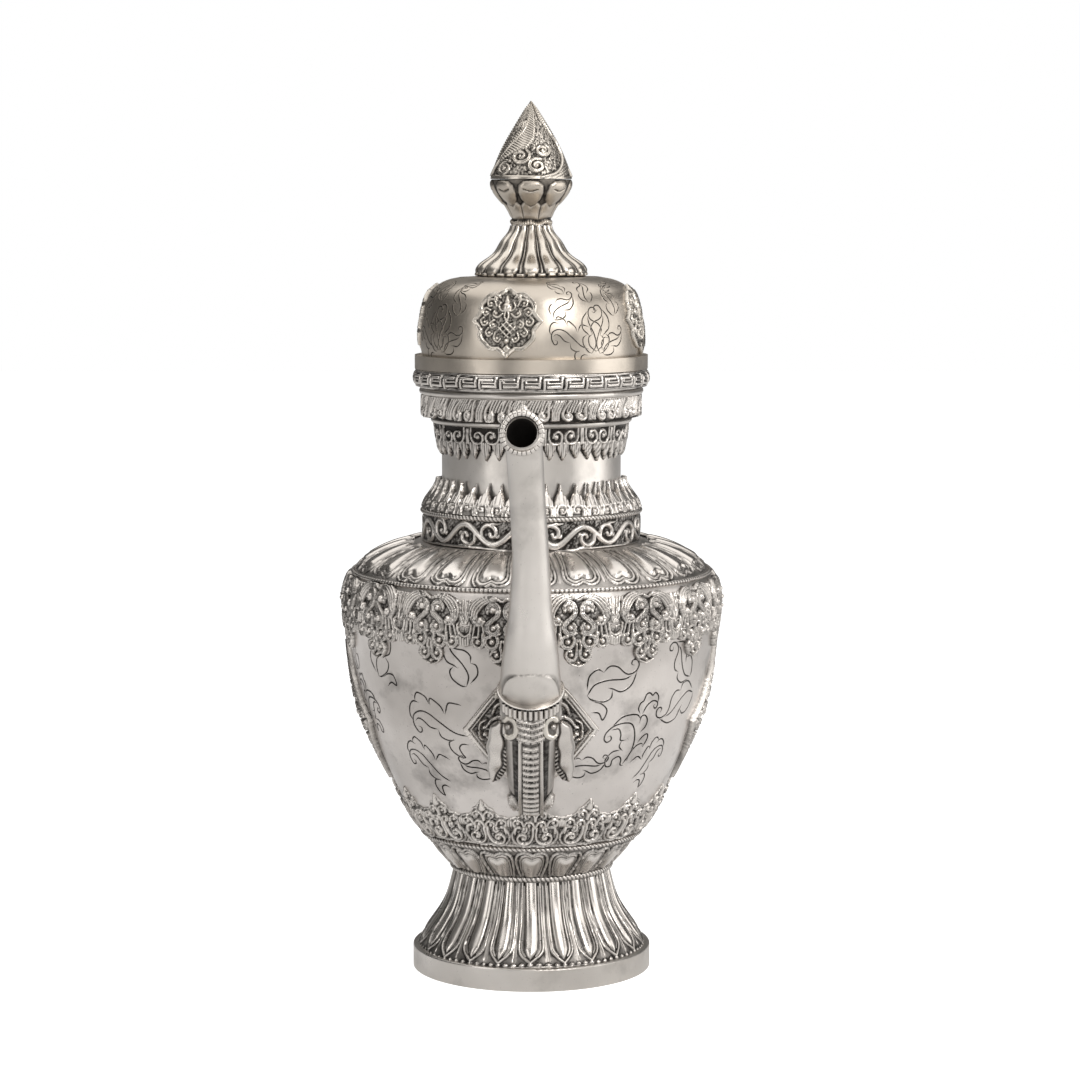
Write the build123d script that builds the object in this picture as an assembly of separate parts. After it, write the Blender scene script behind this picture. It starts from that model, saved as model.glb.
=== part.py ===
from build123d import *

import os

os.makedirs("parts", exist_ok=True)

# A lidded silver ewer. Lengths are in millimetres, +Z is up, and the origin is the centre of the
# foot on the surface it stands on. The spout points along -Y and the handle along +Y.

# Driving dimensions
SHEET = 1.2  # thickness of the raised silver sheet
SOLDER = 0.05  # joint between two fixed pieces
RUNNING = 0.3  # clearance between the lid's pieces and what they turn in or rest on
REACH = 150.0  # from the axis to the spout's mouth, and to the back of the handle

FOOT_RADIUS = 55.3
FOOT_RIM_TOP = 10.5
WAIST_LOW, WAIST_HIGH = 46.0, 49.5
BELLY_TOP = 199.5
NECK_RADIUS = 41.2
NECK_TOP = 277.0
MOUTH_TOP = 278.5

LID_LOW = MOUTH_TOP + RUNNING
LID_RADIUS = 53.5
DOME_LOW = 285.0
DOME_TOP = 320.7
FLANGE_LOW = 262.0
FINIAL_CUP_LOW = 344.0
FINIAL_WIDEST = 365.0
FINIAL_TIP = 400.0
PLATE_MIDDLE, SIDE_PLATE_MIDDLE = 124.0, 120.0  # heights of the diamond plates
LID_TURN = -12.5  # the lid's medallions stand this far round from the spout, in degrees

SPOUT_BORE = 6.3
SPOUT_WALL = 1.4
HANDLE_RADIUS = 4.2

# Outlines, each a smooth line through (radius, height), from the bottom up
FOOT_OUTLINE = [(53.8, FOOT_RIM_TOP), (47.5, 20.5), (41.2, 30.6), (38.1, 40.6), (36.8, WAIST_LOW)]
BELLY_OUTLINE = [
    (36.8, WAIST_HIGH),
    (44.3, 58.0),
    (57.0, 75.0),
    (66.5, 95.0),
    (78.7, 123.0),
    (83.7, 154.0),
    (85.6, 172.0),
    (82.0, 184.8),
    (72.3, 193.0),
    (61.7, 197.3),
    (51.0, BELLY_TOP),
]
CREST_OUTLINE = [(50.0, 214.9), (47.7, 219.7), (44.9, 223.5), (43.0, 229.0)]
DOME_OUTLINE = [
    (50.0, DOME_LOW),
    (50.3, 297.5),
    (48.8, 306.0),
    (46.0, 313.4),
    (41.0, 317.8),
    (34.0, 320.0),
    (26.0, DOME_TOP),
]
SKIRT_OUTLINE = [
    (26.0, DOME_TOP + SOLDER),
    (24.8, 325.5),
    (17.4, 331.4),
    (14.0, 336.8),
    (10.4, 341.5),
    (9.6, FINIAL_CUP_LOW - SOLDER),
]
CUP_OUTLINE = [(9.7, FINIAL_CUP_LOW), (11.4, 351.0), (16.4, 357.3), (19.0, FINIAL_WIDEST)]
BUD_OUTLINE = [(19.0, FINIAL_WIDEST + SOLDER), (14.1, 377.7), (7.5, 390.0), (2.6, 397.5)]

# Seams between the belly's four sheets, each hidden under a band
BELLY_SEAMS = (76.0, 172.0, 193.5)

# Chased bands soldered round the belly: lowest and highest point, and how far they stand out
BELLY_BANDS = {
    "belly_calyx": (50.5, 63.4, 1.8),
    "lower_scroll_frieze": (66.8, 86.0, 2.2),
    "upper_scroll_frieze": (164.5, 182.5, 2.9),
    "shoulder_petals": (187.0, 199.0, 1.8),
}
# Twisted wires round the belly: height and thickness
BELLY_ROPES = {"calyx_rope": (65.0, 2.0), "shoulder_rope": (185.3, 1.8)}

# The spout's centre line from inside the belly to its mouth, with the tube's outer radius
SPOUT_POINTS = [
    (0, -66, 110),
    (0, -90, 126),
    (0, -104, 147),
    (0, -112, 166),
    (0, -117, 182),
    (0, -122, 204),
    (-1, -127, 226),
    (-2, -132, 243),
    (-3, -140, 256),
    (-3.5, -148.5, 260),
]
SPOUT_RADII = [9.0, 11.5, 13.4, 11.8, 9.2, 7.9, 7.7, 7.7, 7.7, 7.8]
MOUTH_CENTRE = (-3.5, -148.5, 260)


def moved(line, place, out):
    """A point of an outline, moved out along its normal."""
    point = line @ place
    along = line % place
    return (point.X + out * along.Z, 0, point.Z - out * along.X)


def place_at_height(line, height):
    """Where an outline that climbs all the way reaches a height, from 0 to 1."""
    low, high = 0.0, 1.0
    for _ in range(40):
        middle = (low + high) / 2
        if (line @ middle).Z < height:
            low = middle
        else:
            high = middle
    return (low + high) / 2


def wall(points, inside, outside, low=None, high=None, steps=24):
    """A turned wall that follows an outline, between two distances from it and two heights."""
    line = Spline(*[(radius, 0, height) for radius, height in points])
    start = 0.0 if low is None else place_at_height(line, low)
    end = 1.0 if high is None else place_at_height(line, high)
    places = [start + (end - start) * step / steps for step in range(steps + 1)]
    inner = [moved(line, place, inside) for place in places]
    outer = [moved(line, place, outside) for place in places]
    edges = [
        Spline(*outer),
        Line(outer[-1], inner[-1]),
        Spline(*inner[::-1]),
        Line(inner[0], outer[0]),
    ]
    return revolve(make_face(edges), Axis.Z)


def turned(points):
    """A turned solid with a straight-sided outline of (radius, height) corners."""
    corners = [(radius, 0, height) for radius, height in points]
    return revolve(make_face(Polyline(*corners, close=True)), Axis.Z)


def ring(inner, outer, low, high):
    """A ring with a rectangular section."""
    return turned([(inner, low), (outer, low), (outer, high), (inner, high)])


def wire_ring(radius, height, thickness):
    """A ring of round wire."""
    return Pos(0, 0, height) * Torus(radius, thickness / 2)


def wire_on(points, height, thickness):
    """A ring of round wire that lies on an outline at a height."""
    line = Spline(*[(radius, 0, level) for radius, level in points])
    x, _, z = moved(line, place_at_height(line, height), thickness / 2 + SOLDER)
    return wire_ring(x, z, thickness)


def filled(points, out):
    """The whole space inside an outline, grown by a distance."""
    line = Spline(*[(radius, 0, height) for radius, height in points])
    outer = [moved(line, step / 24, out) for step in range(25)]
    edges = [
        Spline(*outer),
        Line(outer[-1], (0, 0, outer[-1][2])),
        Line((0, 0, outer[-1][2]), (0, 0, outer[0][2])),
        Line((0, 0, outer[0][2]), outer[0]),
    ]
    return revolve(make_face(edges), Axis.Z)


# --- The foot -----------------------------------------------------------------------------------


def foot_rim():
    """A plain band that the ewer stands on, with a flange that carries the pedestal."""
    band = ring(FOOT_RADIUS - 2.2, FOOT_RADIUS, 0, FOOT_RIM_TOP)
    flange = ring(50.5, FOOT_RADIUS, FOOT_RIM_TOP - SHEET, FOOT_RIM_TOP)
    rim = band + flange
    outer_top = rim.edges().filter_by(GeomType.CIRCLE).group_by(Axis.Z)[-1].sort_by(SortBy.RADIUS)[-1]
    return fillet(outer_top, 0.8)


def foot_pedestal():
    """The trumpet-shaped stem, open at both ends."""
    return wall(FOOT_OUTLINE, -SHEET, 0) - foot_rim()


def waist_rope():
    """The roped collar between the pedestal and the belly."""
    middle = (WAIST_LOW + WAIST_HIGH) / 2
    collar = ring(34.0, 36.9, WAIST_LOW + SOLDER, WAIST_HIGH - SOLDER)
    return collar + wire_ring(36.6, middle, 2.8)


# --- The belly ----------------------------------------------------------------------------------


def belly_band(name):
    """One of the chased bands round the belly."""
    low, high, relief = BELLY_BANDS[name]
    return wall(BELLY_OUTLINE, SOLDER, SOLDER + relief, low, high)


def belly_sheet(low, high):
    """One sheet of the raised wall, between two seams or up to an end of the outline."""
    low = None if low is None else low + SOLDER / 2
    high = None if high is None else high - SOLDER / 2
    return wall(BELLY_OUTLINE, -SHEET, 0, low, high)


def belly_bowl():
    """The lowest sheet, closed by a flat floor."""
    return belly_sheet(None, BELLY_SEAMS[0]) + ring(0, 36.8, WAIST_HIGH, WAIST_HIGH + SHEET)


def belly_shell():
    """The widest sheet, with the hole that the spout opens from."""
    return belly_sheet(BELLY_SEAMS[0], BELLY_SEAMS[1]) - spout_space(0)


def belly_shoulder():
    """The sheet that turns in over the widest part."""
    return belly_sheet(BELLY_SEAMS[1], BELLY_SEAMS[2])


def belly_crown():
    """The top sheet, with a flat seat for the neck."""
    seat = ring(NECK_RADIUS - SHEET, 51.0, BELLY_TOP - SHEET, BELLY_TOP)
    return belly_sheet(BELLY_SEAMS[2], None) + seat


def diamond_plate(azimuth, middle):
    """An applied diamond plate with swelling sides, bent to the belly."""
    half_width, half_height = 30.5, 35.0
    corners = [(0, half_height), (half_width, 0), (0, -half_height), (-half_width, 0)]
    sides = []
    for (x0, z0), (x1, z1) in zip(corners, corners[1:] + corners[:1]):
        swell = ((x0 + x1) * 0.53, 0, (z0 + z1) * 0.53)
        sides.append(ThreePointArc((x0, 0, z0), swell, (x1, 0, z1)))
    prism = Pos(0, -50, middle) * extrude(make_face(sides), 60, dir=(0, -1, 0))
    skin = wall(BELLY_OUTLINE, SOLDER, SOLDER + 4.0, 84, 164)
    return Rot(0, 0, azimuth) * (skin & prism)


# --- The spout ----------------------------------------------------------------------------------


def tube_space(radii):
    """A body round the spout's centre line, with one radius at each of its points."""
    path = Spline(*SPOUT_POINTS, tangents=[(0, -0.83, 0.56), (-0.05, -1, 0)])
    sections = []
    for point, radius in zip(SPOUT_POINTS, radii):
        along = path % path.param_at_point(Vector(*point))
        plane = Plane(origin=point, x_dir=(1, 0, 0), z_dir=along)
        sections.append(plane * Circle(radius))
    return loft(sections, ruled=True)


def spout_space(grow):
    """The room inside the spout, or with a growth of its wall, the room the whole tube takes."""
    if grow:
        return tube_space([radius + grow for radius in SPOUT_RADII])
    bore = [max(radius - SPOUT_WALL, SPOUT_BORE) for radius in SPOUT_RADII]
    mouth = Plane(origin=MOUTH_CENTRE, z_dir=(0, -1, 0)) * Cylinder(bore[-1], 6)
    return tube_space(bore) + mouth


def spout_tube():
    """The curved pipe, cut to the belly at its root and open at its mouth."""
    return tube_space(SPOUT_RADII) - filled(BELLY_OUTLINE, SOLDER) - spout_space(0)


def spout_lip():
    """The pearled ring round the spout's mouth, with a small pointed crest on top."""
    x, y, z = MOUTH_CENTRE
    length = REACH + y + 2.0
    band = Cylinder(9.2, length) - Cylinder(SPOUT_RADII[-1] + SOLDER, length)
    crest = extrude(make_face(Polyline((-3, 8.6), (3, 8.6), (0, 13.0), close=True)), length / 2, both=True)
    plane = Plane(origin=(x, -REACH + length / 2, z), x_dir=(-1, 0, 0), z_dir=(0, -1, 0))
    return plane * (band + crest) - spout_space(SOLDER)


def head_space(grow):
    """The outside of the sea monster's head, from the belly to the rim of its open mouth."""
    # centre, direction, half width, half depth
    stations = [
        ((0, -52, 106), (0, -1, 0.3), 11.5, 26.0),
        ((0, -84, 120), (0, -0.8, 0.6), 13.0, 21.5),
        ((0, -106, 146), (0, -0.42, 0.91), 15.0, 16.2),
    ]
    sections = []
    for centre, along, half_width, half_depth in stations:
        plane = Plane(origin=centre, x_dir=(1, 0, 0), z_dir=along)
        sections.append(plane * Ellipse(half_width + grow, half_depth + grow))
    return loft(sections)


def makara_head():
    """The sea monster whose open mouth holds the spout."""
    head = head_space(0) - filled(BELLY_OUTLINE, SOLDER) - spout_space(SOLDER)
    return head - belly_band("lower_scroll_frieze")


def on_both_sides(piece):
    """A piece and its mirror image across the middle plane."""
    return piece + mirror(piece, Plane.YZ)


def makara_fangs():
    """Two curled tusks at the corners of the mouth."""
    tusk = Pos(16.4, -103, 134) * Rot(0, 90, 0) * Torus(5.5, 1.7)
    gap = Pos(16.4, -97, 140) * Box(8, 9, 9)
    return on_both_sides(tusk - gap - head_space(SOLDER))


def makara_fins():
    """Two ribbed ear fins behind the tusks."""
    points = [(-92, 118), (-97, 128), (-94, 141), (-99, 153), (-89, 149), (-84, 136), (-85, 124)]
    blade = make_face(Spline(*[(14.2, y, z) for y, z in points], periodic=True))
    fin = extrude(blade, 4.3, dir=(1, 0, 0))
    return on_both_sides(fin - head_space(SOLDER) - filled(BELLY_OUTLINE, 4.2))


def spout_plate():
    """The plate on the belly that the head stands out of."""
    return diamond_plate(0, PLATE_MIDDLE) - head_space(SOLDER) - spout_space(SOLDER)


# --- The neck -----------------------------------------------------------------------------------


def neck_tube():
    """The plain neck, from the belly's seat to the mouth."""
    return ring(NECK_RADIUS - SHEET, NECK_RADIUS, BELLY_TOP, NECK_TOP)


def neck_vine_band():
    """A drum round the foot of the neck, closed on top."""
    drum = ring(49.1, 50.6, BELLY_TOP, 212.5)
    return drum + ring(NECK_RADIUS + SOLDER, 50.6, 211.0, 212.5)


def neck_rope():
    """A twisted wire on the drum."""
    return wire_ring(50.1, 213.65, 2.2)


def neck_crest():
    """A sloping crown of upright leaves that leans on the neck."""
    return wall(CREST_OUTLINE, -1.3, 0)


def neck_fringe():
    """Hanging leaves round the top of the neck."""
    inner = NECK_RADIUS + SOLDER
    return turned([(inner, 239.5), (42.6, 239.5), (44.0, 245.0), (45.0, 254.0), (inner, 254.0)])


def fringe_moulding():
    """A round moulding above the fringe."""
    ledge = ring(NECK_RADIUS + SOLDER, 45.0, 254.05, 257.0)
    return ledge + wire_ring(44.8, 255.55, 2.9)


def acanthus_band():
    """A drum of scrolls that stands out from the neck on a flat web."""
    drum = ring(49.1, 50.6, 257.05, 266.9)
    return drum + ring(NECK_RADIUS + SOLDER, 50.6, 257.05, 258.5)


def mouth_moulding():
    """A flat moulding that carries the key band."""
    ledge = ring(NECK_RADIUS + SOLDER, 50.2, 266.95, 270.4)
    return ledge + wire_ring(49.9, 268.7, 3.2)


def key_band():
    """The swelling band with the key pattern, and the flat mouth that the lid rests on."""
    belly = [(52.6, 270.45), (54.4, 274.5), (53.0, MOUTH_TOP)]
    swelling = wall(belly, -SHEET, 0)
    mouth = ring(NECK_RADIUS - SHEET, 52.6, NECK_TOP, MOUTH_TOP)
    return swelling + mouth


# --- The handle ---------------------------------------------------------------------------------


def handle():
    """A bow of round rod from the top drum to the back plate."""
    back = REACH - HANDLE_RADIUS
    corners = [(0, 56, 262), (0, 112, 272), (0, back, 238), (0, back, 180), (0, 118, 128), (0, 92, 122)]
    path = FilletPolyline(*corners, radius=[40, 50, 100, 26])
    section = Plane(origin=path @ 0, x_dir=(1, 0, 0), z_dir=path % 0) * Circle(HANDLE_RADIUS)
    return sweep(section, path=path)


def handle_upper_collar():
    """The socket that joins the handle to the top drum."""
    along = (0, 56, 10)
    socket = Plane(origin=(0, 55.5, 262), z_dir=along) * Cylinder(HANDLE_RADIUS + SOLDER + 0.35, 14)
    plate = Pos(0, 52, 262) * Box(20, 6, 9)
    inside = Pos(0, 0, 262) * Cylinder(50.6 + SOLDER, 12)
    outside = Pos(0, 0, 262) * Cylinder(52.4, 12)
    return (socket + (plate & outside)) - inside - handle()


def handle_lower_collar():
    """The socket that joins the handle to the back plate."""
    along = (0, 26, 6)
    socket = Plane(origin=(0, 90, 121.5), z_dir=along) * Cylinder(HANDLE_RADIUS + 2.6, 20)
    return socket - filled(BELLY_OUTLINE, 4.0 + 2 * SOLDER) - handle()


# --- The lid ------------------------------------------------------------------------------------


def lid_flange():
    """The plain ring inside the neck that steadies the lid, with a lip that carries it."""
    outer = NECK_RADIUS - SHEET - 0.4
    lip_top = DOME_LOW - SHEET - RUNNING
    sleeve = ring(outer - 1.4, outer, FLANGE_LOW, lip_top)
    return sleeve + ring(outer - 1.4, LID_RADIUS - 2.0 - RUNNING, lip_top - SHEET, lip_top)


def lid_rim():
    """The flat band round the lid."""
    band = ring(LID_RADIUS - 2.0, LID_RADIUS, LID_LOW, DOME_LOW)
    return band + ring(46.5, LID_RADIUS, DOME_LOW - SHEET, DOME_LOW)


def lid_dome():
    """The raised dome, with a hole in its flat top for the finial's stud."""
    dome = wall(DOME_OUTLINE, -1.4, 0)
    return dome + ring(2.2, 26.0, DOME_TOP - 1.4, DOME_TOP)


def lid_medallion(azimuth):
    """A four-lobed badge bent to the dome."""
    point, cusp, bulge, hollow = 16.5, (4.6, 11.6), 9.4, (2.7, 13.2)
    arcs = []
    for quarter in range(4):
        turn = Rot(0, quarter * 90, 0)
        low, high = (cusp[0], 0, cusp[1]), (cusp[1], 0, cusp[0])
        arcs.append(turn * ThreePointArc((0, 0, point), (hollow[0], 0, hollow[1]), low))
        arcs.append(turn * ThreePointArc(low, (bulge, 0, bulge), high))
        arcs.append(turn * ThreePointArc(high, (hollow[1], 0, hollow[0]), (point, 0, 0)))
    prism = Pos(0, -30, 301.9) * extrude(make_face(arcs), 40, dir=(0, -1, 0))
    skin = wall(DOME_OUTLINE, SOLDER, SOLDER + 2.0, DOME_LOW + 0.3, 319.5)
    return Rot(0, 0, azimuth) * (skin & prism)


def finial_skirt():
    """The fluted skirt under the bud."""
    return wall(SKIRT_OUTLINE, -1.4, 0)


def finial_cup():
    """The cup of petals, with a floor that the stud's head holds down."""
    return wall(CUP_OUTLINE, -1.4, 0) + ring(2.2, 9.7, FINIAL_CUP_LOW, FINIAL_CUP_LOW + 1.4)


def finial_bud():
    """The hollow pointed bud that closes the cup."""
    bud = wall(BUD_OUTLINE, -1.4, 0) - finial_cup()
    tip = turned([(0, 394.0), (4.3, 394.0), (2.5, 397.2), (2.59, 397.5), (0, FINIAL_TIP)])
    return bud + tip


def finial_stud():
    """The stud that ties the finial to the dome: a round head in the cup and a shank down."""
    floor = FINIAL_CUP_LOW + 1.4 + SOLDER
    head = ring(0, 5.0, floor, floor + 3.0)
    return head + ring(0, 2.0, 311.0, floor)


def finial_nut():
    """The six-sided nut inside the dome."""
    low, high = 314.6, 318.2
    nut = extrude(Pos(0, 0, low) * RegularPolygon(4.4, 6), high - low)
    return nut - Pos(0, 0, (low + high) / 2) * Cylinder(2.0 + SOLDER, high - low)


def finial_washer():
    """The washer between the nut and the dome."""
    return ring(2.2, 8.0, 318.25, 319.25)


pieces = {
    "foot_rim": foot_rim(),
    "foot_pedestal": foot_pedestal(),
    "waist_rope": waist_rope(),
    "belly_bowl": belly_bowl(),
    "belly_shell": belly_shell(),
    "belly_shoulder": belly_shoulder(),
    "belly_crown": belly_crown(),
    **{name: belly_band(name) for name in BELLY_BANDS},
    **{name: wire_on(BELLY_OUTLINE, *rope) for name, rope in BELLY_ROPES.items()},
    "side_medallion_left": diamond_plate(-90, SIDE_PLATE_MIDDLE),
    "side_medallion_right": diamond_plate(90, SIDE_PLATE_MIDDLE),
    "back_plate": diamond_plate(180, PLATE_MIDDLE),
    "spout_plate": spout_plate(),
    "makara_head": makara_head(),
    "makara_fangs": makara_fangs(),
    "makara_fins": makara_fins(),
    "spout_tube": spout_tube(),
    "spout_lip": spout_lip(),
    "neck_tube": neck_tube(),
    "neck_vine_band": neck_vine_band(),
    "neck_rope": neck_rope(),
    "neck_crest": neck_crest(),
    "neck_fringe": neck_fringe(),
    "fringe_moulding": fringe_moulding(),
    "acanthus_band": acanthus_band(),
    "mouth_moulding": mouth_moulding(),
    "key_band": key_band(),
    "handle": handle(),
    "handle_upper_collar": handle_upper_collar(),
    "handle_lower_collar": handle_lower_collar(),
    "lid_flange": lid_flange(),
    "lid_rim": lid_rim(),
    "lid_dome": lid_dome(),
    "lid_medallion_front": lid_medallion(LID_TURN),
    "lid_medallion_right": lid_medallion(LID_TURN + 90),
    "lid_medallion_back": lid_medallion(LID_TURN + 180),
    "lid_medallion_left": lid_medallion(LID_TURN - 90),
    "finial_skirt": finial_skirt(),
    "finial_cup": finial_cup(),
    "finial_bud": finial_bud(),
    "finial_stud": finial_stud(),
    "finial_nut": finial_nut(),
    "finial_washer": finial_washer(),
}

for name, piece in pieces.items():
    export_step(piece, f"parts/{name}.step")
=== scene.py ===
import math

import bpy
import numpy as np
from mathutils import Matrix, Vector


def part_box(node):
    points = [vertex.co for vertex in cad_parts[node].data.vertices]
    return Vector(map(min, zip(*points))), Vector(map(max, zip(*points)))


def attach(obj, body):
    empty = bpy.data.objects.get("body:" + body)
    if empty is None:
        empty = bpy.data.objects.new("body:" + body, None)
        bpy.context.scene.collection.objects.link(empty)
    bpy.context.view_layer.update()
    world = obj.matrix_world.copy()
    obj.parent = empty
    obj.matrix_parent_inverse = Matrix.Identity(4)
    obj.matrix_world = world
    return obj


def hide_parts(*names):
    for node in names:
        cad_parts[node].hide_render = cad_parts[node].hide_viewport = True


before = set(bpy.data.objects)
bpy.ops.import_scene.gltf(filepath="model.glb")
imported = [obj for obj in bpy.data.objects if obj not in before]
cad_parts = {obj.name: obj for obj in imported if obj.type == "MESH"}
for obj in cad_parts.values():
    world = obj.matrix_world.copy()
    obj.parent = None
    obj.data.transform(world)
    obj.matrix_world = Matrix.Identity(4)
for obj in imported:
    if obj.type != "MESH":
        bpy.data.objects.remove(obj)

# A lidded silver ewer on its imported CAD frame. Ornament is drawn in millimetres and placed on
# the CAD's own outlines. Azimuth 0 is the spout's side (-Y) and grows towards +X.

MM = 0.001
NOTHING = -9.0  # a height below every ground
FULL_TURN = 2 * math.pi
SIDES = (("right", 1), ("left", -1))
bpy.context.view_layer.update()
LID_TURN = math.radians(-12.5)  # the lid's badges stand this far round from the spout


# --- Lines ---------------------------------------------------------------------------------------

def smooth(points, step=0.25):
    """A smooth line through points, sampled about every step."""
    p = np.array(points, float)
    if len(p) < 3:
        count = max(2, int(np.linalg.norm(p[-1] - p[0]) / step))
        return p[0] + (p[-1] - p[0]) * np.linspace(0, 1, count)[:, None]
    p = np.vstack([2 * p[0] - p[1], p, 2 * p[-1] - p[-2]])
    line = []
    for a, b, c, d in zip(p, p[1:], p[2:], p[3:]):
        count = max(2, int(np.linalg.norm(c - b) / step))
        t = np.linspace(0, 1, count, endpoint=False)[:, None]
        line.append(0.5 * (2 * b + (c - a) * t + (2 * a - 5 * b + 4 * c - d) * t ** 2
                           + (3 * b - a - 3 * c + d) * t ** 3))
    return np.vstack(line + [p[-2][None]])


def spiral(x, y, outer, inner, start, turns, count=14):
    """Points of a spiral that winds in. Angles are in degrees and turns may be negative."""
    angle = np.radians(start + 360 * turns * np.linspace(0, 1, count))
    radius = np.linspace(outer, inner, count)
    return [(x + r * math.cos(a), y + r * math.sin(a)) for r, a in zip(radius, angle)]


def lengths(line):
    """The distance along a line at each of its points."""
    return np.concatenate([[0], np.cumsum(np.linalg.norm(np.diff(line, axis=0), axis=1))])


def along(values, t):
    """Numbers spread evenly over 0 to 1, read at t."""
    values = np.atleast_1d(np.array(values, float))
    return np.interp(t, np.linspace(0, 1, len(values)), values)


def blurred(field, sigma_x, sigma_y):
    """A field blurred by a Gaussian, in pixels, joined left to right."""
    pad = int(3 * sigma_y) + 1
    tall = np.pad(field, ((pad, pad), (0, 0)), mode="edge")
    fx = np.fft.fftfreq(tall.shape[1])[None]
    fy = np.fft.fftfreq(tall.shape[0])[:, None]
    gain = np.exp(-2 * math.pi ** 2 * ((fx * sigma_x) ** 2 + (fy * sigma_y) ** 2))
    return np.fft.ifft2(np.fft.fft2(tall) * gain).real[pad:-pad]


def noise(rng, rows, columns, sigma_x, sigma_y):
    """Smooth random numbers about 0 with a spread of 1, joined left to right."""
    field = blurred(rng.standard_normal((rows, columns)), sigma_x, sigma_y)
    return field / (field.std() + 1e-9)


# --- Outlines ------------------------------------------------------------------------------------

class Outline:
    """A turned outline: radius and height along its length, with the outward normal."""

    def __init__(self, points):
        line = smooth(points, 0.3)
        self.s = lengths(line)
        self.r, self.z = line.T
        dr, dz = np.gradient(self.r, self.s), np.gradient(self.z, self.s)
        size = np.hypot(dr, dz)
        self.nr, self.nz = dz / size, -dr / size
        self.length = self.s[-1]

    def at(self, s, out=0.0):
        """Radius and height at a length along the outline, moved out along the normal."""
        nr, nz = np.interp(s, self.s, self.nr), np.interp(s, self.s, self.nz)
        return np.interp(s, self.s, self.r) + out * nr, np.interp(s, self.s, self.z) + out * nz

    def s_at(self, z):
        """The length at which the outline reaches a height."""
        return float(np.interp(z, self.z, self.s))

    def part(self, low, high):
        """The outline between two heights."""
        s = np.linspace(self.s_at(low), self.s_at(high), 40)
        return Outline(np.column_stack(self.at(s)))


def outline_of(*nodes):
    """The outer outline of turned CAD nodes, read from their own meshes, in millimetres."""
    level_height, inner_wall = 0.6, 0.3
    levels = {}
    for node in nodes:
        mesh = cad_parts[node].data
        for face in mesh.polygons:
            centre, normal = face.center, face.normal
            if centre.x * normal.x + centre.y * normal.y < 0.05 * math.hypot(centre.x, centre.y):
                continue
            back = max(mesh.vertices[index].co.y for index in face.vertices)
            if back < 0 and abs(centre.x) < 0.6 * abs(centre.y):
                continue  # the sector that the spout's hole cuts
            for index in face.vertices:
                x, y, z = mesh.vertices[index].co / MM
                levels.setdefault(round(z / level_height), []).append((math.hypot(x, y), z))
    edge = []
    for key in sorted(levels):
        level = np.array(levels[key])
        edge.append(level[level[:, 0] > level[:, 0].max() - inner_wall].mean(axis=0))
    return Outline(edge)


def around(r, a, z):
    """Points at a radius, an azimuth and a height."""
    return np.stack([r * np.sin(a), -r * np.cos(a), z + 0 * a], axis=-1)


# --- Chased patterns -----------------------------------------------------------------------------

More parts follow.
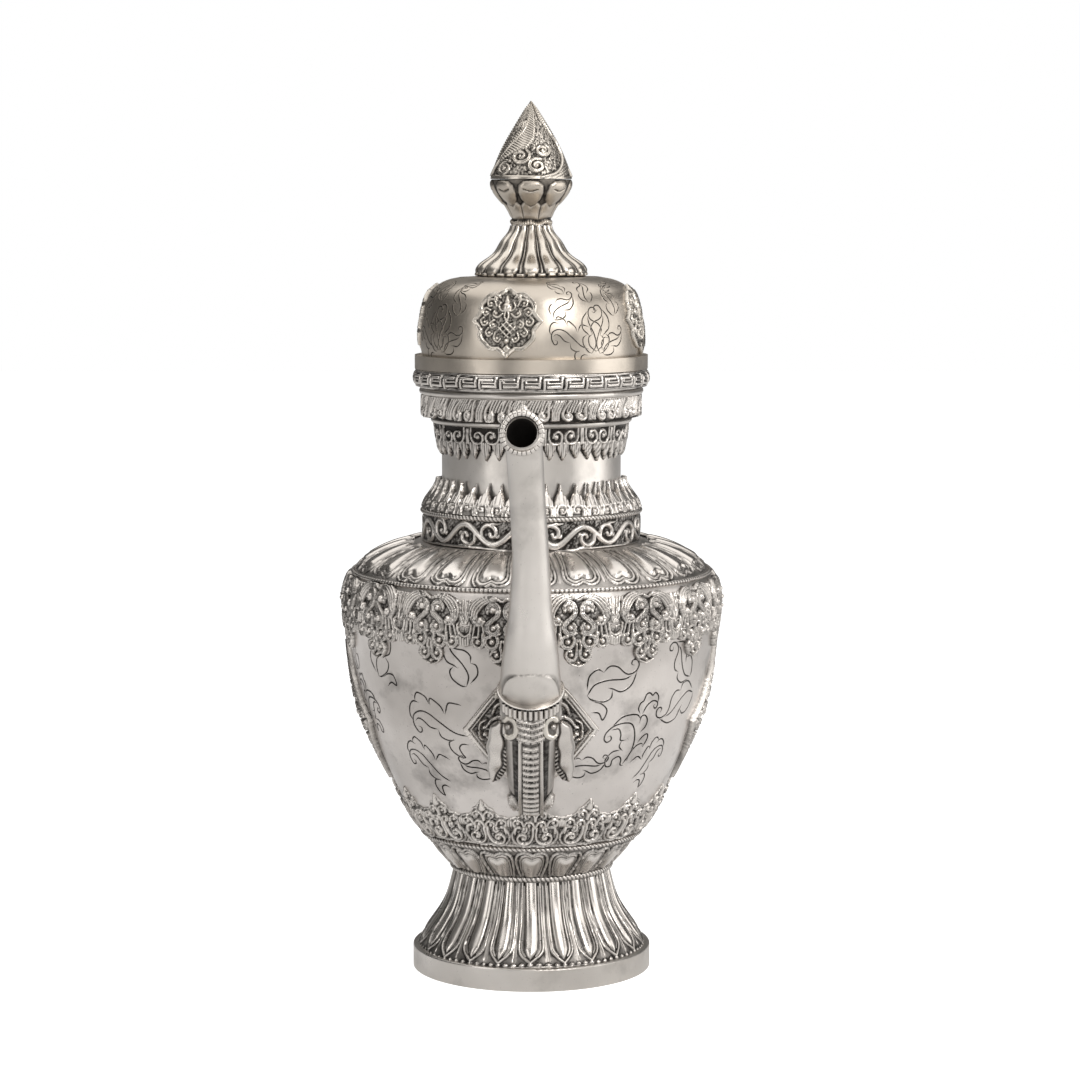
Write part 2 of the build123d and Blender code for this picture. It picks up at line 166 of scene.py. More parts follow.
class Cell:
    """One repeat of a chased pattern as a field of heights, x to the right and y up, joined left
    to right, with x = 0 in the middle. With even set, each mark is made on both sides."""

    def __init__(self, width, height, floor=0.0, step=0.14, even=True):
        self.width, self.height, self.step, self.even = width, height, step, even
        self.x = (np.arange(int(round(width / step))) / int(round(width / step)) - 0.5) * width
        self.y = np.linspace(0, height, int(round(height / step)) + 1)
        self.map = np.full((len(self.y), len(self.x)), float(floor))

    def near(self, line, reach):
        """Per side: the rows near a line, and each pixel's distance, side and nearest place."""
        tangent = np.gradient(line, axis=0)
        tangent /= np.linalg.norm(tangent, axis=1)[:, None] + 1e-9
        rows = np.flatnonzero((self.y > line[:, 1].min() - reach)
                              & (self.y < line[:, 1].max() + reach))
        if not len(rows):
            return
        for flip in ((1, -1) if self.even else (1,)):
            dx = self.x[None, :, None] - flip * line[None, None, :, 0]
            dx = (dx + self.width / 2) % self.width - self.width / 2
            dy = self.y[rows][:, None, None] - line[None, None, :, 1]
            square = dx ** 2 + dy ** 2
            nearest = square.argmin(axis=2)
            pick = lambda f: np.take_along_axis(f, nearest[..., None], 2)[..., 0]
            distance = np.sqrt(pick(square))
            side = pick(dx) * flip * -tangent[nearest, 1]
            side = side + pick(np.broadcast_to(dy, square.shape)) * tangent[nearest, 0]
            yield rows, distance, np.sign(side), nearest

    def lay(self, rows, inside, value):
        """Raises the map to a value wherever it's inside."""
        self.map[rows] = np.maximum(self.map[rows], np.where(inside, value, NOTHING))

    def stroke(self, points, width, height, ridges=1, base=0.0, crown=0.5):
        """A raised strand along a smooth line. Width and height may be lists spread along it."""
        line = smooth(points, 0.3)
        t = lengths(line) / lengths(line)[-1]
        half, top = along(width, t) / 2, along(height, t)
        for rows, distance, side, nearest in self.near(line, half.max()):
            u = np.clip(distance / half[nearest], 0, 1)
            if ridges == 1:
                shape = (1 - u ** 2) ** crown
            else:
                wave = np.abs(np.sin(math.pi * ridges * (side * u + 1) / 2))
                shape = (0.30 + 0.70 * wave ** 0.8) * (1 - u ** 8)
            self.lay(rows, distance < half[nearest], base + (top[nearest] - base) * shape)

    def groove(self, points, width, depth):
        """A cut along a smooth line."""
        line = smooth(points, 0.3)
        for rows, distance, _, _ in self.near(line, width / 2):
            u = np.clip(2 * distance / width, 0, 1)
            self.map[rows] -= depth * (1 - u ** 2)

    def ball(self, x, y, radius, height, base=0.0):
        """A pearl."""
        for rows, distance, _, _ in self.near(np.array([[x, y], [x + 1e-4, y]]), radius):
            u = np.clip(distance / radius, 0, 1)
            self.lay(rows, u < 1, base + (height - base) * np.sqrt(1 - u ** 2))

    def scroll(self, points, width, height, pearl, ridges, centre, base=0.0):
        """A strand whose last points curl round a pearl."""
        self.stroke(points, width, height, ridges, base)
        self.ball(*centre, pearl, np.max(height) * 1.02, base)

    def fill(self, corners, height, bevel=0.6, crown=0.0, base=0.0, lines=None):
        """A raised area inside straight sides, rounded over its edge. With even set, corners that
        start and end at x = 0 are one half of it. Lines are (angle, pitch, depth) of a hatch."""
        p = np.array(corners, float)
        if self.even and abs(p[0, 0]) < 1e-6 and abs(p[-1, 0]) < 1e-6:
            p = np.vstack([p, (p * [-1, 1])[-2:0:-1]])
            sides = (1,)
        else:
            sides = (1, -1) if self.even else (1,)
        for flip in sides:
            q = p * [flip, 1]
            middle = q[:, 0].mean()
            x = (self.x[None] - middle + self.width / 2) % self.width - self.width / 2 + middle
            rows = np.flatnonzero((self.y > q[:, 1].min()) & (self.y < q[:, 1].max()))
            if not len(rows):
                continue
            x, y = np.broadcast_arrays(x, self.y[rows][:, None])
            inside, gap = np.zeros(x.shape, bool), np.full(x.shape, 1e9)
            for (ax, ay), (bx, by) in zip(q, np.roll(q, -1, axis=0)):
                inside ^= ((ay > y) != (by > y)) & (x < (bx - ax) * (y - ay) / (by - ay + 1e-12)
                                                    + ax)
                t = ((x - ax) * (bx - ax) + (y - ay) * (by - ay)) / ((bx - ax) ** 2 + (by - ay) ** 2
                                                                     + 1e-12)
                t = np.clip(t, 0, 1)
                gap = np.minimum(gap, np.hypot(x - ax - t * (bx - ax), y - ay - t * (by - ay)))
            u = np.clip(gap / bevel, 0, 1)
            swell = crown * np.clip(gap / 3.5, 0, 1) ** 0.6
            value = base + (height - base) * (np.sqrt(1 - (1 - u) ** 2) * (1 - crown) + swell)
            if lines:
                angle, pitch, depth = lines
                angle = math.radians(angle)
                across = (x - middle) * flip * math.cos(angle) + y * math.sin(angle)
                value = value - depth * np.abs(np.cos(math.pi * across / pitch)) ** 6
            self.lay(rows, inside, value)
        return self

    def stipple(self, seed, below, depth):
        """A punched ground wherever the pattern is lower than a height."""
        punch = 0.55 / self.step / 2
        grain = noise(np.random.default_rng(seed), *self.map.shape, punch, punch)
        self.map += np.where(self.map < below, depth * np.clip(grain, -1.2, 1.2), 0)

    def dark(self, strength=1.0, ground=0.6):
        """How much tarnish sits at each place, from 0 on high places to 1 in the recesses."""
        step = self.step
        wide = blurred(self.map, 1.5 / step, 1.5 / step) - self.map
        near = blurred(self.map, 0.45 / step, 0.45 / step) - self.map
        top = max(self.map.max(), 0.3)
        depth = np.clip(1 - self.map / (ground * top), 0, 1)
        return np.clip(strength * (1.5 * wide + 4.6 * near) / top + 0.82 * depth ** 0.8, 0, 1)

    def read(self, field, x, y):
        """A field of this cell at any places, x in cells, y in millimetres."""
        rows, columns = field.shape
        fx = (x % 1.0) * columns
        fy = np.clip(y / self.height, 0, 1) * (rows - 1)
        x0, y0 = np.floor(fx).astype(int), np.minimum(np.floor(fy).astype(int), rows - 2)
        tx, ty = fx - x0, fy - y0
        a = field[y0, x0 % columns] * (1 - tx) + field[y0, (x0 + 1) % columns] * tx
        b = field[y0 + 1, x0 % columns] * (1 - tx) + field[y0 + 1, (x0 + 1) % columns] * tx
        return a * (1 - ty) + b * ty


# --- Meshes --------------------------------------------------------------------------------------

def add_mesh(name, vertices, faces, look, nodes=(), dark=None):
    """A smooth-shaded piece from points in millimetres and faces of one size. A look is the body
    that it rides, its slot, which is not used, and its material. Dark is its tarnish at each
    point, and painted shade on a few pieces, from 0 to 1."""
    body, slot, material = look
    mesh = bpy.data.meshes.new(name)
    vertices, faces = np.asarray(vertices, float), np.asarray(faces, int)
    mesh.vertices.add(len(vertices))
    mesh.vertices.foreach_set("co", (vertices * MM).ravel())
    mesh.loops.add(faces.size)
    mesh.loops.foreach_set("vertex_index", faces.ravel())
    mesh.polygons.add(len(faces))
    mesh.polygons.foreach_set("loop_start", np.arange(0, faces.size, faces.shape[1]))
    mesh.update(calc_edges=True)
    mesh.polygons.foreach_set("use_smooth", np.ones(len(faces), bool))
    attribute = mesh.attributes.new("dark", "FLOAT", "POINT")
    values = np.zeros(len(vertices)) if dark is None else np.asarray(dark).ravel()
    attribute.data.foreach_set("value", values.astype(np.float32))
    mesh.materials.append(material)
    piece = bpy.data.objects.new(name, mesh)
    bpy.context.scene.collection.objects.link(piece)
    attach(piece, body)
    if nodes:
        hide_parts(*nodes)


def grid_faces(rows, columns, closed=True, flip=False):
    """Quads of a grid of rows times columns points, joined along each row when closed."""
    i, j = np.meshgrid(np.arange(rows - 1), np.arange(columns if closed else columns - 1),
                       indexing="ij")
    k = (j + 1) % columns
    quads = np.stack([i * columns + j, i * columns + k, (i + 1) * columns + k, (i + 1) * columns
                      + j], axis=-1)
    quads = quads.reshape(-1, 4)
    return quads[:, ::-1] if flip else quads


def hoop_faces(rows, columns):
    """Quads of a grid that is joined along its rows and from its last row to its first."""
    k = np.arange(columns)
    following = (k + 1) % columns
    last = (rows - 1) * columns
    return np.vstack([grid_faces(rows, columns),
                      np.stack([last + k, last + following, following, k], -1)])


def turn_steps(count):
    """Angles once round."""
    return np.arange(count) / count * FULL_TURN


def sphere(rows, columns):
    """The points of a ball of radius 1, from its front pole to its back pole."""
    b, turn = np.linspace(0, math.pi, rows)[:, None], turn_steps(columns)
    points = np.stack([np.sin(b) * np.cos(turn), -np.cos(b) + 0 * turn, np.sin(b) * np.sin(turn)],
                      -1)
    return points.reshape(-1, 3)


def compact(vertices, faces, *fields):
    """Drops the points that no face uses."""
    used = np.unique(faces)
    index = np.full(len(vertices), -1)
    index[used] = np.arange(len(used))
    return (vertices[used], index[faces]) + tuple(field.ravel()[used] for field in fields)


def chased_ring(name, outline, cell, repeats, look, nodes, seed, pitch=0.42, phase=0.0, base=0.0,
                wobble=0.3, drop=None, strength=1.0, skin=None, ground=0.6):
    """A pattern repeated round an outline. The phase is in degrees. Places lower than drop are left
    out. A skin adds an inner wall that many millimetres inside."""
    rng = np.random.default_rng(seed)
    span = min(cell.height, outline.length)
    rows = int(span / pitch) + 2
    columns = int(FULL_TURN * outline.r.max() / pitch / repeats) * repeats
    repeat = columns / repeats
    s, a = np.linspace(0, span, rows), turn_steps(columns)
    shift = np.array([noise(rng, rows, columns, repeat / 2.5, rows / 3) for _ in range(2)]) * wobble
    lift = 1 + 0.05 * noise(rng, rows, columns, repeat / 2, rows / 2)
    x = (a[None] - math.radians(phase)) / FULL_TURN * repeats + 0.5 + shift[0] / cell.width
    y = s[:, None] + shift[1]
    height = cell.read(cell.map, x, y)
    tarnish = cell.read(cell.dark(strength, ground), x, y).ravel()
    r, z = outline.at(s[:, None], base + height * lift)
    points = around(r, a[None], z).reshape(-1, 3)
    faces = grid_faces(rows, columns)
    if drop is not None:
        faces = faces[(height.ravel()[faces] > drop).any(axis=1)]
    if skin:
        wide = columns // 8
        r, z = outline.at(s[::4, None], -skin)
        faces = np.vstack([faces, grid_faces(len(r), wide, flip=True) + len(points)])
        points = np.vstack([points, around(r, turn_steps(wide)[None], z).reshape(-1, 3)])
        tarnish = np.concatenate([tarnish, np.full(len(r) * wide, 0.35)])
    points, faces, tarnish = compact(points, faces, tarnish)
    add_mesh(name, points, faces, look, nodes, tarnish)


def rope_ring(name, node, radius, height, thickness, strands, beads=False):
    """A ring of twisted wire, or of beads."""
    steps = 18
    columns = int(FULL_TURN * radius / 0.34)
    a, b = turn_steps(columns)[None], turn_steps(steps)[:, None]
    valley = (1 - np.abs(np.sin((strands * a + (0 if beads else 2) * b) / 2))) ** 1.6
    tube = thickness / 2 * (1 - 0.34 * valley)
    points = around(radius + tube * np.cos(b), a, height + tube * np.sin(b)).reshape(-1, 3)
    add_mesh(name, points, hoop_faces(steps, columns), RELIEF, [node], np.clip(valley * 1.3, 0, 1))


# --- Materials -----------------------------------------------------------------------------------

def silver(name, bright, shade, rough, tarnish, grain, dents=1.0):
    """Worn silver plate: dark in its recesses and, on a few pieces, with painted shade, mottled,
    faintly scratched and hammered.
    """
    # The dark tone: tarnish in recesses, and painted shade where a piece asks for it.
    tarnish_and_shade_tone = (0.028, 0.025, 0.023)
    material = bpy.data.materials.new(name)
    material.use_nodes = True
    tree = material.node_tree
    nodes, links = tree.nodes, tree.links
    shader = nodes["Principled BSDF"]
    shader.inputs["Metallic"].default_value = 1.0

    def node(kind, **values):
        made = nodes.new("ShaderNode" + kind)
        for key, value in values.items():
            setattr(made, key, value)
        return made

    place = node("TexCoord").outputs["Object"]

    def texture(scale, detail, roughness=0.55, stretch=None):
        made = node("TexNoise")
        made.inputs["Scale"].default_value = scale
        made.inputs["Detail"].default_value = detail
        made.inputs["Roughness"].default_value = roughness
        source = place
        if stretch:
            mapping = node("Mapping")
            mapping.inputs["Scale"].default_value = stretch
            links.new(place, mapping.inputs["Vector"])
            source = mapping.outputs["Vector"]
        links.new(source, made.inputs["Vector"])
        return made.outputs["Fac"]

    def ramp(source, low, high, a=0.0, b=1.0):
        made = node("MapRange")
        for key, value in (("From Min", low), ("From Max", high), ("To Min", a), ("To Max", b)):
            made.inputs[key].default_value = value
        links.new(source, made.inputs["Value"])
        return made.outputs["Result"]

    def maths(kind, a, b):
        made = node("Math", operation=kind, use_clamp=kind == "ADD")
        for index, value in enumerate((a, b)):
            if isinstance(value, float):
                made.inputs[index].default_value = value
            else:
                links.new(value, made.inputs[index])
        return made.outputs[0]

    def mix(factor, a, b):
        made = node("Mix", data_type="RGBA")
        links.new(factor, made.inputs[0])
        for index, value in ((6, a), (7, b)):
            if isinstance(value, tuple):
                made.inputs[index].default_value = value + (1,)
            else:
                links.new(value, made.inputs[index])
        return made.outputs[2]

    # The dark attribute: tarnish in the recesses and, on a few pieces, painted shade.
    tarnish_and_shade_mask = nodes.new("ShaderNodeAttribute")
    tarnish_and_shade_mask.attribute_name = "dark"
    cloud = texture(38, 5, 0.6)
    speck = texture(900, 3, 0.7)
    film = maths("MULTIPLY", ramp(cloud, 0.52, 0.78), 0.30 * tarnish)
    dots = maths("MULTIPLY", ramp(speck, 0.66, 0.80), 0.45 * tarnish)
    edge = maths("MULTIPLY", tarnish_and_shade_mask.outputs["Fac"], ramp(texture(420, 4), 0.25, 0.75, 0.80, 1.12))
    total = maths("ADD", maths("ADD", edge, film), dots)
    plain = mix(ramp(texture(14, 4), 0.35, 0.68), bright, shade)
    links.new(mix(total, plain, tarnish_and_shade_tone), shader.inputs["Base Color"])
    wear = ramp(texture(60, 6, 0.65), 0.3, 0.75, rough - 0.07, rough + 0.10)
    links.new(maths("ADD", wear, maths("MULTIPLY", total, 0.22)), shader.inputs["Roughness"])
    hammered = node("Bump")
    hammered.inputs["Strength"].default_value = 0.16 * dents
    hammered.inputs["Distance"].default_value = 0.0006
    links.new(texture(85, 2, 0.4), hammered.inputs["Height"])
    scratched = node("Bump")
    scratched.inputs["Strength"].default_value = 0.22 * grain
    scratched.inputs["Distance"].default_value = 0.00012
    links.new(texture(1500, 3, 0.6, (1, 1, 0.12)), scratched.inputs["Height"])
    links.new(hammered.outputs["Normal"], scratched.inputs["Normal"])
    links.new(scratched.outputs["Normal"], shader.inputs["Normal"])
    return material


PLAIN = silver("plain_silver", (0.70, 0.665, 0.63), (0.52, 0.49, 0.455), 0.34, 1.2, 1.0)
BODY = silver("body_silver", (0.74, 0.70, 0.67), (0.46, 0.43, 0.405), 0.33, 2.3, 1.3, 1.3)
CHASED = silver("chased_silver", (0.76, 0.72, 0.68), (0.58, 0.545, 0.51), 0.27, 0.8, 0.6)
LID = silver("lid_silver", (0.57, 0.515, 0.45), (0.44, 0.395, 0.34), 0.34, 1.1, 1.0)
LID_CHASED = silver("lid_chased_silver", (0.74, 0.69, 0.62), (0.56, 0.51, 0.45), 0.28, 0.8, 0.6)
PALE = silver("pale_silver", (0.72, 0.685, 0.63), (0.54, 0.505, 0.455), 0.38, 1.0, 0.8)
# The spout's bore is near-black and not metallic: painted shade inside the pipe.
BORE_SHADE = silver("painted_shade_bore", (0.010, 0.009, 0.008), (0.005, 0.005, 0.004), 0.85, 1.0, 1.0)
for socket, level in (("Metallic", 0.0), ("Specular IOR Level", 0.04)):
    BORE_SHADE.node_tree.nodes["Principled BSDF"].inputs[socket].default_value = level
STEEL = silver("steel", (0.50, 0.49, 0.48), (0.42, 0.41, 0.40), 0.40, 0.5, 1.0)

SMOOTH = ("vessel", "silver", PLAIN)
SKIN = ("vessel", "silver", BODY)
RELIEF = ("vessel", "chased_silver", CHASED)
LEDGE = ("vessel", "chased_silver", PLAIN)
TUSK = ("vessel", "pale_silver", PALE)
BORE = ("vessel", "silver", BORE_SHADE)
LID_SKIN = ("lid", "lid_silver", LID)
LID_RELIEF = ("lid", "lid_chased_silver", LID_CHASED)


# --- The foot ------------------------------------------------------------------------------------

def foot():
    """Long petals down the stem, and a row of points along its foot."""
    outline = outline_of("foot_pedestal")
    cell = Cell(12.6, outline.length, floor=0.15)
    top = outline.length + 2
    cell.stroke([(4.6, top), (4.9, 16), (4.7, 9), (3.6, 6.2), (1.6, 3.8), (0.1, 2.2)], 0.85, 0.95)
    cell.fill([(0, 3.9), (1.5, 6.2), (2.5, 8.8), (2.8, 14), (2.9, top), (0, top)], 1.25, 2.8, 0.0)
    cell.fill([(5.5, 5.0), (6.3, 4.0), (7.1, 5.0), (7.0, top), (5.6, top)], 0.5, 0.4)
    cell.groove([(6.3, 3), (6.3, top)], 0.8, 0.6)
    cell.groove([(3.75, top), (3.95, 14), (3.6, 8.6), (2.0, 5.6)], 0.9, 0.5)
    for x in (0.0, 3.15, 6.3):
        cell.fill([(x - 1.1, 1.2), (x, 0.1), (x + 1.1, 1.2), (x, 2.2)], 0.85, 1.0)
    cell.stroke([(-7, 0.2), (0, 0.1), (7, 0.2)], 0.5, 0.5)
    chased_ring("foot_petals", outline, cell, 22, RELIEF, ["foot_pedestal"], seed=11, pitch=0.46,
                base=-1.25, strength=0.9, skin=1.3)


def waist():
    """The thick twisted collar between the stem and the belly."""
    thick = 3.0
    low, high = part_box("waist_rope")
    rope_ring("waist_twist", "waist_rope", high.x / MM - 1.3, (low.z + high.z) / 2 / MM, thick, 112)


# --- Bands round the belly -----------------------------------------------------------------------

def calyx(belly):
    """The ring of petals under the belly."""
    part = belly.part(50.3, 64.2)
    cell = Cell(15.2, part.length, floor=0.45)
    cell.stroke([(5.6, -1), (6.6, 5), (6.9, 10.5), (6.1, 14.6), (4.2, 16.3), (2.0, 15.9),
                 (0, 14.3)], 1.0, 1.75)
    cell.fill([(0, -2), (4.6, -2), (5.4, 5), (5.6, 10.5), (4.7, 14), (3.2, 14.9), (1.4, 14.3),
               (0, 13.2)], 0.95, 0.5)
    cell.groove([(3.2, -1), (4.5, 5), (4.7, 9.8), (4.0, 12.2), (2.6, 13.1), (1.2, 12.6), (0, 11.9)],
                0.7, 0.5)
    cell.fill([(0, -2), (2.8, -2), (4.1, 5), (4.3, 9.5), (3.7, 11.8), (2.5, 12.5), (1.2, 12.0),
               (0, 11.3)], 1.85, 3.0, 0.1)
    chased_ring("calyx_petals", part, cell, 18, RELIEF, ["belly_calyx"], seed=12, pitch=0.5,
                strength=0.8)


def lower_frieze(belly):
    """The scroll band round the foot of the belly."""
    part = belly.part(66.2, 93.5)
    cell = Cell(24.3, part.length, floor=-0.5)
    cell.fill([(0, 0), (12.2, 0), (12.2, 18.9), (11.0, 19.0), (9.8, 19.6), (7.6, 19.8), (5.6, 21.4),
               (5.0, 23.2),
               (3.0, 24.4), (0, 28.3)], 0.75, 0.5)
    cell.stipple(5, 0.9, 0.12)
    cell.stroke([(-13, 0.5), (0, 0.4), (13, 0.5)], 0.8, 1.2)
    cell.stroke([(0.3, 1.5), (4, 1.0), (8.6, 2.0), (11.2, 5.2), (11.2, 9.0), (9.4, 11.6),
                 (7.4, 12.0)], 1.25, 2.0, 2)
    cell.scroll([(0.9, 11.6), (0.8, 8), (1.7, 4.6), (4.4, 2.7), (7.6, 3.3), (8.8, 5.8), (7.8, 8.1),
                 (5.6, 8.5),
                 (4.2, 7.0), (4.9, 5.4)], (1.5, 1.7, 1.5, 1.1), 2.2, 1.15, 1, (5.8, 6.1))
    cell.scroll([(9.9, 9.0), (9.4, 11.8), (7.2, 13.4), (4.8, 12.9), (3.9, 11.3), (4.9, 10.0),
                 (6.2, 10.6)],
                (1.3, 1.5, 1.0), 2.1, 0.9, 1, (5.4, 11.6))
    cell.scroll([(0.3, 11.8), (0.5, 14.6), (1.8, 16.7), (3.9, 16.7), (4.9, 15.1), (4.0, 13.8)],
                (1.2, 1.4, 0.9), 2.1, 0.95, 1, (2.9, 15.1))
    cell.scroll([(5.6, 15.0), (6.6, 17.2), (8.6, 18.1), (10.3, 17.0), (10.2, 15.3), (8.8, 14.9)],
                (1.2, 1.4, 0.9), 2.1, 1.0, 1, (8.3, 16.3))
    cell.scroll([(0.2, 17.4), (0.6, 20.4), (2.4, 22.2), (4.4, 21.3), (4.6, 19.5), (3.3, 18.9)],
                (1.1, 1.4, 0.9), 2.15, 1.0, 1, (2.9, 20.3))
    cell.fill([(0, 21.6), (2.0, 23.0), (0, 27.9)], 2.1, 1.3)
    cell.fill([(9.3, 12.2), (12.2, 12.2), (15.1, 12.2), (14.6, 16.6), (12.2, 18.4), (9.8, 16.6)],
              1.7, 0.8,
              lines=(0, 1.25, 0.55))
    chased_ring("lower_scrolls", part, cell, 16, RELIEF, ["lower_scroll_frieze"], seed=13, phase=2,
                wobble=0.35, drop=-0.3)


def upper_frieze(belly):
    """The scroll band under the shoulder, whose hearts hang down over the belly."""
    top = belly.s_at(184.2)
    height = 32.6
    part = Outline(np.column_stack(belly.at(np.linspace(top - height, top, 60))))
    cell = Cell(33.3, part.length, floor=-0.5)
    d = lambda points: [(x, height - y) for x, y in points]
    cell.fill(d([(0, 2.0), (3, 0.4), (8.2, 0), (12.4, 1.8), (15.0, 6), (15.2, 10.4), (14.2, 13.8),
                 (16.65, 14.4), (16.65, 23.6),
                 (14.0, 22.6), (12.9, 23.9), (10.4, 24.4), (8.0, 23.4), (6.2, 24.6), (6.6, 27.2),
                 (5.0, 29.8), (0, 32.5)])[::-1],
              0.8, 0.5)
    for x in (14.2, 15.1, 16.0):
        cell.stroke(d([(16.65 + (x - 16.65) * 0.4, 13.2), (x, 8.5),
                       (16.65 + (x - 16.65) * 1.6, 2.2)]), 0.8, 1.3)
    cell.stipple(6, 0.9, 0.10)
    for x0, x1, x2 in ((8.2, 8.0, 7.4), (10.0, 10.2, 10.6), (11.8, 12.4, 13.2), (13.4, 14.0, 14.0)):
        cell.stroke(d([(x0, 13.4), (x1, 16.4), (x2, 19.2)]), 1.0, 1.9)
    cell.stroke(d([(0.3, 3.2), (2.6, 2.0), (6.0, 2.0), (9.6, 3.7), (12.0, 7.0), (12.2, 10.4),
                   (10.8, 13.0), (8.7, 13.4),
                   (7.5, 11.9)]), (1.0, 2.2, 3.6, 4.9, 5.4, 4.6, 3.0, 1.7, 1.0), 2.7, 4)
    cell.ball(9.3, height - 11.2, 1.75, 3.3)
    cell.stroke(d([(6.1, 8.0), (6.3, 5.9), (4.6, 4.3), (2.5, 4.8), (1.5, 7.0), (2.0, 9.4),
                   (4.2, 11.3), (6.2, 13.2), (6.2, 15.7),
                   (4.4, 17.2), (2.3, 16.7), (1.4, 14.7), (2.3, 12.9)]),
                (1.2, 2.2, 2.4, 2.3, 2.3, 2.1, 1.3), 2.7, 3)
    cell.ball(4.0, height - 6.9, 1.65, 3.3)
    cell.ball(3.7, height - 14.5, 1.5, 3.2)
    cell.scroll(d([(0.9, 17.0), (2.4, 18.0), (1.9, 20.4), (3.4, 23.2), (6.2, 23.2), (7.5, 21.0),
                   (6.6, 18.7), (4.8, 18.4)]),
                (1.0, 1.7, 1.9, 1.3), 2.5, 1.5, 2, (4.7, height - 20.7))
    cell.scroll(d([(8.6, 17.2), (8.3, 20.2), (9.2, 23.0), (11.7, 23.2), (13.2, 21.2), (12.3, 19.0),
                   (10.6, 18.7)]),
                (1.1, 1.7, 1.8, 1.2), 2.5, 1.5, 2, (10.7, height - 20.8))
    cell.scroll(d([(0.5, 20.2), (1.0, 23.2), (0.7, 26.6), (2.0, 29.0), (4.3, 28.9), (5.6, 26.9),
                   (4.7, 24.9), (3.2, 24.8)]),
                (0.9, 1.5, 1.7, 1.2), 2.5, 1.35, 2, (3.1, height - 26.6))
    cell.stroke(d([(5.6, 28.4), (3.4, 30.8), (0, 32.2)]), 1.0, 2.2)
    cell.fill(d([(0, 29.4), (1.5, 30.0), (0, 31.6)])[::-1], 2.4, 0.8)
    cell.stroke(d([(13.5, 13.8), (13.8, 16.4), (16.65, 18.6), (19.5, 16.4), (19.8, 13.8)]), 1.0,
                2.0)
    cell.fill(d([(13.6, 17.2), (16.65, 19.2), (19.7, 17.2), (19.5, 22.6), (16.65, 23.6),
                 (13.8, 22.6)]), 2.1, 0.8,
              lines=(0, 1.15, 0.7))
    chased_ring("upper_scrolls", part, cell, 16, RELIEF, ["upper_scroll_frieze"], seed=14,
                pitch=0.385, phase=-8.5, base=0.1, wobble=0.35, drop=-0.3, strength=1.15,
                ground=0.62)


def shoulder(belly):
    """The ring of long petals on the shoulder."""
    start = belly.s_at(186.6)
    s = np.linspace(start, belly.length - 0.4, 60)
    part = Outline(np.column_stack(belly.at(s)))
    cell = Cell(17.6, part.length, floor=0.35)
    far = part.length + 2
    cell.stroke([(6.4, far), (6.7, 16), (7.2, 7.5), (6.6, 3.6), (4.4, 1.4), (2.2, 1.3), (0, 2.9)],
                0.95, 1.35)
    cell.fill([(0, 3.8), (2.2, 2.4), (4.2, 2.6), (6.0, 4.6), (6.4, 8), (6.0, 16), (5.6, far),
               (0, far)], 0.75, 0.5)
    cell.groove([(4.0, far - 4), (4.8, 16), (5.3, 9), (4.8, 5.6), (3.4, 4.0), (1.6, 4.2), (0, 5.4)],
                0.9, 0.5)
    cell.fill([(0, 5.8), (1.6, 4.7), (3.2, 4.6), (4.5, 6.2), (4.8, 9), (4.2, 16), (3.4, 24),
               (2.6, far - 4.5),
               (0, far - 3.4)], 1.9, 2.6, 0.1)
    cell.groove([(8.8, 3), (8.8, far)], 1.2, 0.5)
    chased_ring("shoulder_flutes", part, cell, 24, RELIEF, ["shoulder_petals"], seed=15, pitch=0.5,
                phase=2.0, wobble=0.35, strength=0.75, ground=0.45)


def wires():
    """The thin wires, twisted or beaded."""
    for node, strands, beads in (("calyx_rope", 150, False), ("shoulder_rope", 250, True),
                                 ("neck_rope", 165, False)):
        low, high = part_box(node)
        thick = (high.z - low.z) / MM
        rope_ring(node + "_twist", node, high.x / MM - thick / 2, (low.z + high.z) / 2 / MM,
                  thick * 1.04, strands, beads)


# --- Bands round the neck ------------------------------------------------------------------------

def drum(node):
    """The straight outline of a drum's outside."""
    low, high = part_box(node)
    return Outline([(high.x / MM, low.z / MM), (high.x / MM, high.z / MM)])


def vine():
    """The drum with a running vine."""
    part = drum("neck_vine_band")
    wide = 28.6
    cell = Cell(wide, part.length, floor=0.1, even=False)
    cell.stipple(7, 0.6, 0.08)
    x = np.linspace(-wide, wide, 33)
    wave = [(v, 6.6 + 4.1 * math.cos(2 * math.pi * v / wide)) for v in x]
    cell.stroke(wave, 2.3, 1.15, crown=0.25)
    cell.groove(wave, 0.5, 0.3)
    for flip, shift in ((1, 0), (-1, wide / 2)):
        put = lambda points: [(shift + flip * px, 6.6 + flip * (py - 6.6)) for px, py in points]
        cell.stroke(put([(5.4, 7.6), (5.2, 4.0), (3.0, 2.0), (0.2, 2.4), (-1.6, 4.4), (-1.2, 6.6),
                         (0.6, 7.2), (1.6, 6.0)]),
                    (1.3, 1.9, 1.9, 1.5, 1.1), 1.05, crown=0.3)
        cell.stroke(put([(3.0, 2.4), (0.5, 1.2), (-2.6, 1.1), (-4.2, 0.7)]), (0.8, 1.6, 0.4), 0.9)
        cell.stroke(put([(-3.3, 6.0), (-2.4, 7.2), (-1.2, 7.0)]), (0.4, 1.3, 0.5), 0.9)
        cell.ball(*put([(1.3, 5.9)])[0], 0.8, 1.15)
    cell.stroke([(-wide, 0.5), (0, 0.5), (wide, 0.5)], 0.9, 1.1)
    chased_ring("vine_scrolls", part, cell, 11, RELIEF, ["neck_vine_band"], seed=21, phase=-4,
                base=-1.2)


def ledge(name, points, dark):
    """A plain turned surface that closes a band."""
    line = Outline(points)
    steps, columns = max(2, int(line.length / 1.2)), 240
    r, z = line.at(np.linspace(0, line.length, steps)[:, None])
    places = around(r, turn_steps(columns)[None], z).reshape(-1, 3)
    add_mesh(name, places, grid_faces(steps, columns), LEDGE, dark=np.full(len(places), dark))


